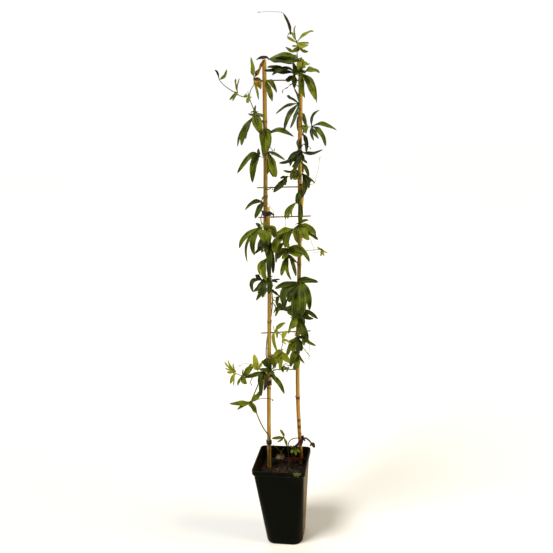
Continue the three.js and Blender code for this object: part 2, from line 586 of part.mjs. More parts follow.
      [[47, -8, 817], [[55, -18, 775, 9.5, 55, 801]]],
      [[44, -12, 780], [[-7, -24, 756, 13.5, 24, 762], [18, -34, 746, 7.5, 26, 763],
        [22, -38, 744, 11.5, 38, 758], [11, -30, 756, 11.5, 29, 773], [94, -16, 782, 9.5, 63, 773],
        [52, -24, 760, 6.5, 48, 766], [44, -30, 811, 8, 41, 790]]],
      [[41, -9, 757], [[59, -20, 719, 8.5, 56, 737]]],
      [[36, -10, 735], [[2, -18, 738, 7, 16, 734], [20, -26, 715, 13.5, 26, 732],
        [25, -30, 716, 11.5, 32, 722]]],
      [[12, -14, 724], [[-21, -26, 689, 13.5, -6, 703], [9, -28, 704, 8.5, 6, 710],
        [-4, -16, 722, 7, 0, 721]]],
      [[46, -10, 729], [[61, -22, 695, 9.5, 58, 716], [44, -28, 674, 11.5, 52, 702],
        [76, -18, 707, 5.5, 64, 717]]],
      [[43, -10, 694], [[35, -20, 660, 12.5, 36, 674]]],
      [[32, -10, 664], [[7, -26, 626, 7.5, 11, 648],
        [12, -32, 627, 7, 16, 642], [22, -34, 629, 5, 21, 649]]],
      [[39, -9, 614], [[61, -14, 622, 7, 48, 621], [41, -16, 662, 12, 42, 639]]],
      [[38, -12, 611], [[78, -24, 591, 10, 60, 608], [78, -32, 584, 10, 63, 600],
        [83, -28, 577, 8, 69, 586], [61, -38, 575, 20, 48, 592], [37, -30, 567, 13, 29, 593]]],
      [[24, -14, 602], [[-18, -26, 586, 13, 0, 598], [-13, -32, 547, 17.5, -16, 572],
        [6, -34, 558, 9, 5, 584], [13, -36, 556, 10.5, 10, 579]]],
      [[14, -12, 542], [[-5, -26, 492, 12.5, 2, 517], [19, -30, 481, 8.5, 8, 510],
        [30, -26, 489, 9, 24, 515], [34, -20, 522, 8.5, 17, 536]]],
      [[10, -13, 557], [[62, -24, 523, 15.5, 41, 553], [46, -30, 540, 18.5, 25, 546],
        [-12, -26, 533, 12, -2, 550], [-3, -34, 532, 13, 6, 543]]],
      [[5, -15, 569], [[-17, -30, 523, 10.5, -10, 558]]],
      [[91, -16, 552], [[81, -20, 559, 8, 87, 552], [91, -24, 556, 7, 91, 554],
        [106, -18, 543, 6, 96, 547], [89, -26, 536, 5, 91, 544], [98, -28, 536, 5, 94, 543]]],
      [[33, -9, 480], [[83, -18, 473, 15, 56, 479]]],
      [[38, -14, 474], [[-20, -26, 461, 13.5, 4, 470], [1, -36, 417, 18.5, 4, 456],
        [15, -42, 426, 16, 17, 449]]],
      [[44, -16, 476], [[29, -44, 392, 20, 28, 429], [43, -48, 392, 20, 45, 429],
        [62, -36, 405, 15, 58, 444]]],
      [[-9, -13, 443], [[-15, -20, 416, 8.5, -16, 433], [-28, -18, 461, 8, -22, 452]]],
      [[-14, -13, 418], [[-25, -18, 401, 4.5, -19, 411], [-21, -22, 393, 6.5, -16, 405],
        [-13, -24, 405, 4.5, -9, 414]]],
      [[23, -13, 394], [[10, -22, 348, 6.5, 16, 367], [16, -27, 361, 12, 27, 374],
        [8, -26, 403, 12.5, 17, 398]]],
      [[3, -13, 407], [[11, -22, 430, 7, 5, 429], [-10, -24, 427, 14, -6, 417],
        [23, -26, 419, 15, 13, 411]]],
      [[48, -10, 407], [[83, -20, 382, 11, 64, 397], [72, -28, 383, 13, 52, 390],
        [28, -24, 386, 14, 36, 395]]],
      [[38, -10, 389], [[58, -22, 324, 11.5, 51, 352], [49, -30, 339, 12.5, 38, 361]]],
      [[50, -12, 335], [[78, -20, 314, 8.5, 59, 325], [49, -22, 316, 10, 48, 328]]],
      [[-22, -11, 356], [[4, -18, 376, 9.5, -10, 369], [-15, -26, 298, 8, -26, 334],
        [-17, -20, 337, 7, -18, 353]]],
      [[-4, -12, 326], [[10, -18, 353, 10.5, 1, 347], [17, -22, 322, 6, 4, 332]]],
      [[-6, -12, 304], [[-34, -22, 282, 10, -16, 302], [14, -28, 274, 15, 2, 288],
        [-24, -26, 266, 12, -17, 287], [-11, -32, 254, 10, -9, 278]]],
      [[28, -10, 338], [[6, -16, 291, 12, 16, 318], [18, -24, 302, 12.5, 24, 313],
        [10, -20, 330, 6, 20, 331]]],
      [[31, -10, 302], [[50, -20, 270, 6.5, 38, 286], [15, -24, 263, 15, 22, 290],
        [21, -30, 256, 15, 30, 270]]],
      [[32, -10, 340], [[41, -20, 302, 10.5, 40, 318], [32, -28, 296, 11, 34, 313],
        [52, -24, 335, 9, 44, 337]]],
      [[2, -10, 256], [[-3, -18, 248, 12, -4, 259], [5, -24, 263, 15, 4, 261]]],
      [[-14, 16, 284], [[-24, 30, 270, 9], [-8, 34, 262, 10], [4, 28, 280, 9]]],
      [[40, 19, 400], [[20, 30, 392, 9], [30, 42, 364, 12], [50, 42, 366, 11], [60, 28, 390, 9]]],
      [[36, 19, 470], [[14, 32, 458, 10], [26, 44, 430, 12], [46, 44, 432, 12], [56, 28, 456, 9]]],
      [[38, 24, 762], [[16, 34, 752, 10], [26, 46, 726, 12], [48, 44, 730, 11], [58, 30, 752, 8]]],
      [[44, 24, 864], [[26, 36, 852, 9], [36, 46, 824, 11], [56, 42, 832, 10]]],
    ],
    tendrils: [
      [[64, -24, 578], [68, -24, 567], [73, -23, 556], [73, -22, 546], [80, -18, 545], [90, -16, 548]],
      [[7, -14, 603], [7, -15, 620], [7, -16, 636]],
      [[74, -18, 707], [78, -18, 720], [83, -17, 740], [86, -16, 760]],
      [[60, -20, 326], [62, -22, 308], [60, -23, 296], [60, -23, 286]],
      [[7, -6, 1070], [-10, -7, 1073], [-30, -9, 1074], [-44, -12, 1072]],
    ],
  },
  base_shoot_left: {
    shoots: [
      { radius: SHOOT_RADIUS, path: [[9, -3, -12], [8.5, -3, 18], [7, -3, 40], [5.6, -3, 49], [2.7, -4, 60],
        [-0.5, -4, 69], [-3, -5, 76]].map(seen) },
    ],
    leaves: [
      [[-3, -5, 76], [[-14, -8, 98, 8, -7, 88], [-34, -12, 75, 8, -19, 76], [-21, -16, 65, 5, -12, 68.5],
        [5, -14, 50, 7, 0.5, 64]]],
    ],
    tendrils: [],
  },
  base_shoot_right: {
    shoots: [
      { radius: STEM_RADIUS, path: [[18, -4, -12], [18, -5, 20], [18.5, -6, 38], [21, -6, 47], [28.5, -8, 53],
        [35, -9, 60], [42, -10, 67.5], [47, -10, 70.5], [52, -10, 70.5], [58, -10, 66], [64, -11, 59],
        [68, -12, 51], [73, -12, 44]].map(seen) },
      { radius: PETIOLE_RADIUS, path: [[12, -4, 40], [8, -5, 50], [8, -5, 59], [11, -6, 65], [16, -7, 69.5],
        [23, -8, 72], [31, -9, 72], [40, -10, 70]].map(seen) },
    ],
    leaves: [
      [[66, -12, 57], [[75, -18, 42, 6.5, 71.5, 52], [62, -18, 47, 4, 65, 51]]],
      [[43, -11, 69], [[22, -16, 45, 6, 32, 55], [38, -18, 50, 6, 42, 60], [47, -14, 78, 7, 44, 74],
        [50, -18, 62, 5, 48, 66]]],
      [[23, -9, 42], [[10, -14, 51, 8], [14, -18, 31, 9], [27, -22, 24, 9], [37, -20, 31, 9],
        [31, -14, 52, 8], [20, -14, 54, 7]]],
    ],
    tendrils: [],
  },
};

function shootBar({ radius, path }, clearance = 0) {
  const curve = curveThrough(path);
  const fractions = ringFractions(curve, STEM_STEP);
  return {
    solid: solidFrom(bar(curve, fractions.map((t) => [t, radius * (1 - 0.3 * t)]), 4, clearance)),
    nodes: fractions.map((t) => curve.getPointAt(t)),
  };
}

// One leafy stem: its shoots, petioles, leaf blades and tendrils, grown together.
function leafyStem({ shoots, leaves, tendrils }) {
  const nodes = [];
  const solids = [];
  for (const { radius, path } of shoots) {
    const start = nodes.length ? [nearestNode(nodes, path[0], -1)] : [];
    const shoot = shootBar({ radius, path: [...start, ...path] });
    solids.push(shoot.solid);
    nodes.push(...shoot.nodes);
  }
  leaves.forEach((leaf) => solids.push(...leafSolids(leaf, nodes)));
  for (const points of tendrils) {
    const places = points.map(seen);
    const curve = curveThrough([nearestNode(nodes, places[0], -1), ...places]);
    solids.push(solidFrom(bar(curve, ringFractions(curve, TENDRIL_STEP).map((t) => [t, TENDRIL_RADIUS]), 3)));
  }
  // Where two faces barely touch, the union can leave a speck beside the plant.
  return wasm.Manifold.union(solids).decompose().reduce((a, b) => (a.volume() > b.volume() ? a : b));
}

// ---------------------------------------------------------------- assembly

const FINISHES = {
  pot: { color: 0x14150f, roughness: 0.55 },
  soil: { color: 0x2a1d12, roughness: 1 },
  cane: { color: 0xa87a32, roughness: 0.5 },
  rung: { color: 0x5a4030, roughness: 0.7 },
  tie: { color: 0x0c0c0c, roughness: 0.45 },
  vine: { color: 0x46550f, roughness: 0.5 },
};

const group = new THREE.Group();

function addPiece(name, geometry, finish) {
  const material = new THREE.MeshStandardMaterial({ ...FINISHES[finish], metalness: 0 });
  const mesh = new THREE.Mesh(geometry, material);
  mesh.name = name;
  group.add(mesh);
}

addPiece('pot', potGeometry(), 'pot');

let soil = soilBody();
for (const name of ['cane_lower_left', 'cane_lower_right']) {
  soil = soil.subtract(solidFrom(caneBar(name, GAP)));
}
for (const { shoots } of Object.values(STEM_PLANS)) soil = soil.subtract(shootBar(shoots[0], GAP).solid);

for (const name of Object.keys(CANES)) {
  let cane = solidFrom(caneBar(name, 0));
  for (const rung of Object.values(RUNGS)) {
    if (rung.depth === CANES[name].depth) cane = cane.subtract(solidFrom(rungBar(rung, GAP)));
  }
  addPiece(name, geometryFrom(cane), 'cane');
}

for (const [name, rung] of Object.entries(RUNGS)) addPiece(name, rungBar(rung, 0), 'rung');

for (const [name, tie] of Object.entries(TIES)) addPiece(name, tieBand(tie), 'tie');

for (const [name, plan] of Object.entries(STEM_PLANS)) {
  addPiece(name, geometryFrom(leafyStem(plan)), 'vine');
}

addPiece('soil', geometryFrom(soil), 'soil');

export default group;
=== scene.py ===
# A passion flower vine in a deep square nursery pot, trained up a bamboo ladder trellis.
#
# Tables are in millimetres, meshes in metres. The origin is the centre of the pot's underside, X
# runs to the pot's right and -Y is its front. The trellis has its own frame: u runs across it, v
# goes behind it and w rises from the soil. Leaves and shoots are laid out as a visitor sees them
# against the trellis: (u, w) is the place that they cover and v moves them along the line of sight.

import math

import bmesh
import bpy
import numpy as np
from mathutils import Matrix, Vector, noise


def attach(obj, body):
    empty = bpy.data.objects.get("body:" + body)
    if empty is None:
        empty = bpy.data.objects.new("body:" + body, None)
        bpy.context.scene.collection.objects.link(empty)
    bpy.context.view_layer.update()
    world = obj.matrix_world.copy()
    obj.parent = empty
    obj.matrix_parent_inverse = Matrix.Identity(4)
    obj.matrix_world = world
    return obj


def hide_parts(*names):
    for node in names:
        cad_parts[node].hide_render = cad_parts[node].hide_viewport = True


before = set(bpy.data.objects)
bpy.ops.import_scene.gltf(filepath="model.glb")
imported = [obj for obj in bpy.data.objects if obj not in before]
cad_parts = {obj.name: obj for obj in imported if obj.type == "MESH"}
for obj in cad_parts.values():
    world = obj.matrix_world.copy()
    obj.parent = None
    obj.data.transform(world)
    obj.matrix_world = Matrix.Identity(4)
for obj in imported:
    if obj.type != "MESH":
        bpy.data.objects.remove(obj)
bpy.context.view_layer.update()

bl_info = {
    "name": "Potted passion flower vine",
    "version": (1, 0, 0),
    "blender": (4, 5, 0),
    "location": "View3D > Sidebar > Vine",
    "description": "Builds a potted passion flower vine on a bamboo ladder trellis",
    "category": "Object",
}

MM = 0.001

# ---------------------------------------------------------------- sizes

# The pot. Its corners are rounder at its base than at its top.
POT_HEIGHT = 211
POT_TOP = 131
POT_BASE = 91
POT_WALL = 1.6
LIP_HEIGHT = 12
LIP_OVERHANG = 2.6
POT_CORNER_TOP = 9
POT_CORNER_BASE = 24
DRAIN_RADIUS = 5
DRAIN_OFFSET = 24
SOIL_TOP = 183
SOIL_INSET = 2

# The trellis: two ladders of two canes and two rungs each, of which the upper stands behind.
CANE_RADIUS = 5
CANE_TAPER = 0.3
CANE_JOINT_SPACING = 168
UPPER_LADDER_DEPTH = 10.5
RUNG_RADIUS = 1.6
TIE_CLEARANCE = 0.6
TIE_THICKNESS = 1.4
TIE_WRAPS = 4

# The radii of what grows, and the length of a stipule.
STEM = 1.5
SHOOT = 1.1
PETIOLE = 0.8
TENDRIL = 0.55
CURL = 1.15
STALK = 0.9
STIPULE = 7.5

# Stems: the points in one span of a curve, the greatest distance between two nodes, how far from a
# cane's middle a stem winds and the turn between two of its points, in degrees, and the height at
# which stems go over to the upper ladder. A leaf grows from a node at least ROOT_DEPTH off the
# plane of the canes, on its own side of them, and has no stalk where its hub is nearer to that node
# than STALKLESS. Old stems lose their cork between two heights. One shoot is thick and dark red.
SAMPLES = 20
STEM_STEP = 17
TWINE_RADIUS = CANE_RADIUS + STEM + 0.9
TWINE_STEP = 45
LADDER_CHANGE = 712
ROOT_DEPTH = 1.5
STALKLESS = 1.6
CORK_LOW, CORK_HIGH = 180, 420
RED_SHOOT, RED_SHOOT_SWELL = "base_shoot_right", 1.8

# Blades: how steeply a lobe folds up from its rib, how much fuller it is than its width in the
# table, how far its edge wanders and waves, how far it arches out of a straight line, and how far
# its layer of lobes lies behind the last. Two lobes of one layer are at least LEAST_ANGLE apart.
# The groove over the rib is in millimetres. A plain leaf's shade is START and up to SPAN more.
BLADE_FOLD = 0.34
BLADE_FULLNESS = 1.1
EDGE_WANDER = 0.035
EDGE_WAVE = 0.16
LOBE_ARCH = 0.1
LAYER_STEP = 1.2
LEAST_ANGLE = 0.42
GROOVE_DEPTH, GROOVE_WIDTH = 0.3, 0.8
SHADE_START, SHADE_SPAN = 0.05, 0.8

# Each cane's depth, and its line as places across the trellis (u) and heights (w).
CANES = {
    "cane_lower_left": (0, [(-42, -85), (-41, 60), (-39.4, 190), (-36, 340), (-33.6, 470),
        (-34, 600), (-34.6, 655)]),
    "cane_lower_right": (0, [(43.5, -85), (41, 0), (35.2, 107), (32.4, 190), (34, 369),
        (37.4, 492), (41, 620), (45, 680), (46.5, 706)]),
    "cane_upper_left": (UPPER_LADDER_DEPTH, [(-39.8, 565), (-39, 640), (-36.8, 760),
        (-36.2, 890), (-35.8, 977)]),
    "cane_upper_right": (UPPER_LADDER_DEPTH, [(42.4, 572), (42, 640), (42, 760), (44.2, 890),
        (44.6, 974)]),
}

# Where each cane's first joint is above its lower end, and how orange it is stained, from 0 to 1.
FIRST_JOINT = {
    "cane_lower_left": 129, "cane_lower_right": 99, "cane_upper_left": 112, "cane_upper_right": 112,
}
WARMTH = {
    "cane_lower_left": 0.45, "cane_lower_right": 0.6,
    "cane_upper_left": 0.75, "cane_upper_right": 0.1,
}

# Dark red scars on each cane: how far from its foot, and half their length.
SCARS = {
    "cane_lower_left": [], "cane_upper_left": [(205, 6)], "cane_upper_right": [(150, 8)],
    "cane_lower_right": [(267, 5), (207, 6), (189, 8), (175, 5)],
}

# Each rung's depth, height, start and end.
RUNGS = {
    "rung_1": (0, 353, -56, 65),
    "rung_2": (0, 631.5, -57, 66),
    "rung_3": (UPPER_LADDER_DEPTH, 698.5, -58, 65),
    "rung_4": (UPPER_LADDER_DEPTH, 933.5, -53, 56),
}

# Each tie's height on the trellis, its own height, and the two rounds (u, v, radius) that it holds.
TIES = {
    "tie_base_left": (60, 13, (-41, 0, CANE_RADIUS), (-41, -7, STEM)),
    "tie_low_left": (218, 14, (-38.8, 0, CANE_RADIUS), (-39.2, -4, 2.4)),
    "tie_left": (634, 12, (-34.4, 0, CANE_RADIUS), (-39, 10.5, CANE_RADIUS)),
    "tie_right": (598, 12, (41.2, 0, CANE_RADIUS), (42.2, 10.5, CANE_RADIUS)),
}

# Where on its tie's round each knot sits, as a share of one turn, and how large it is.
KNOTS = {
    "tie_base_left": (0.58, 0.5), "tie_low_left": (0.6, 0.7), "tie_left": (0.76, 1.8),
    "tie_right": (0.62, 1.0),
}

# The stems, in the order in which they branch: a radius and a path. A path's runs are places as
# the visitor sees them, places on the trellis, or turns (height, angle) round a cane. Angle 0 is
# on the cane's right, 90 behind it and -90 in front.
SHOOTS = {
    "left_stem": [
        (STEM, [
            ("trellis", [(-41.4, -7, -14), (-41.2, -7, 30), (-41, -7, 58), (-41, -7, 82)]),
            ("seen", [(-46, -5.5, 91), (-53, -4, 102), (-60, -4, 117), (-69, -5, 141),
                (-77, -7, 165), (-82, -8, 180), (-76, -8, 196), (-68, -8, 215), (-60, -9, 235),
                (-50, -9, 250)]),
            ("round cane_lower_left", [(266, 225), (300, 180), (385, 60), (430, 0), (478, -80),
                (600, -100)]),
            ("trellis", [(-42, -6.5, 611), (-49, 1, 619), (-50, 9, 628), (-46, 16.5, 640),
                (-50, 10, 655), (-48.5, 1, 668), (-44, -6, 680), (-40, -8, 697), (-41, -4.5, 716)]),
            ("round cane_upper_left", [(735, -100), (775, -80), (792, 0), (801, 90), (812, 180),
                (828, 262), (845, 215)]),
            ("seen", [(-52, 0, 855), (-60, -4, 868), (-69, -6, 890), (-71, -7, 901)]),
        ]),
        (SHOOT, [("seen", [(-67, -7, 913), (-60, -6, 924), (-56, -6, 930)])]),
        (SHOOT, [("seen", [(-80, -7, 898), (-90, -8, 900), (-100, -9, 906), (-115, -10, 915),
            (-130, -12, 927), (-136, -12, 936), (-138, -12, 946)])]),
        (SHOOT, [("seen", [(-66, -11, 247), (-85, -13, 245), (-100, -14, 247), (-113, -15, 250),
            (-124, -16, 258)])]),
    ],
    "right_stem": [
        (STEM, [
            ("seen", [(-40.5, 9.5, -14), (-40, 9.5, 60), (-39.5, 9.5, 150), (-38.5, 9.5, 225),
                (-36, 9, 244), (-28, 2, 255), (-18, -6, 258), (-8, -8, 257.5), (8, -9, 257),
                (22, -9, 257)]),
            ("round cane_lower_right", [(268, 235), (300, 280), (345, 255), (392, 265), (412, 360),
                (426, 450), (440, 540), (460, 620), (500, 640), (550, 620), (572, 615)]),
            ("trellis", [(37.6, -8.8, 594), (38.2, -8.8, 616), (39, -8.6, 640), (40, -8.6, 664),
                (39, -8, 690), (37, -3, 715)]),
            ("round cane_upper_right", [(735, 250), (782, 255), (798, 180), (808, 90), (820, 0),
                (836, -70), (860, -105), (890, -115), (946, -80)]),
            ("seen", [(38, -1, 968), (36, -3, 985), (36, -4, 1000), (36, -4, 1012), (29, -4, 1021),
                (23, -4, 1032)]),
        ]),
        (SHOOT, [("seen", [(-9, -9, 276), (-9, -10, 300), (-5, -10, 318), (-1, -10, 335),
            (-6, -10, 346), (-14, -10, 351), (-22, -9.5, 355), (-26, -9, 370)])]),
        (SHOOT, [("seen", [(28, -8, 376), (22, -10, 386), (15, -12, 400), (5, -12, 409),
            (-7, -12, 412), (-17, -12, 414), (-25, -11, 426), (-27, -10, 438)])]),
        (SHOOT, [("seen", [(30, -12, 600), (20, -14, 592), (14, -14, 575), (12, -13, 555),
            (12, -12, 538)])]),
    ],
    "base_shoot_left": [
        (SHOOT, [("seen", [(9, -3, -12), (8.5, -3, 18), (7, -3, 40), (5.6, -3, 49), (2.7, -4, 60),
            (-0.5, -4, 69), (-3, -5, 76)])]),
    ],
    "base_shoot_right": [
        (STEM, [("seen", [(18, -4, -12), (18, -5, 20), (18.5, -6, 38), (21, -6, 47), (28.5, -8, 53),
            (35, -9, 60), (42, -10, 67.5), (47, -10, 70.5), (52, -10, 70.5), (58, -10, 66),
            (64, -11, 59), (68, -12, 51), (73, -12, 44)])]),
        (PETIOLE, [("seen", [(12, -4, 40), (8, -5, 50), (8, -5, 59), (11, -6, 65), (16, -7, 69.5),
            (23, -8, 72), (31, -9, 72), (40, -10, 70)])]),
    ],
}

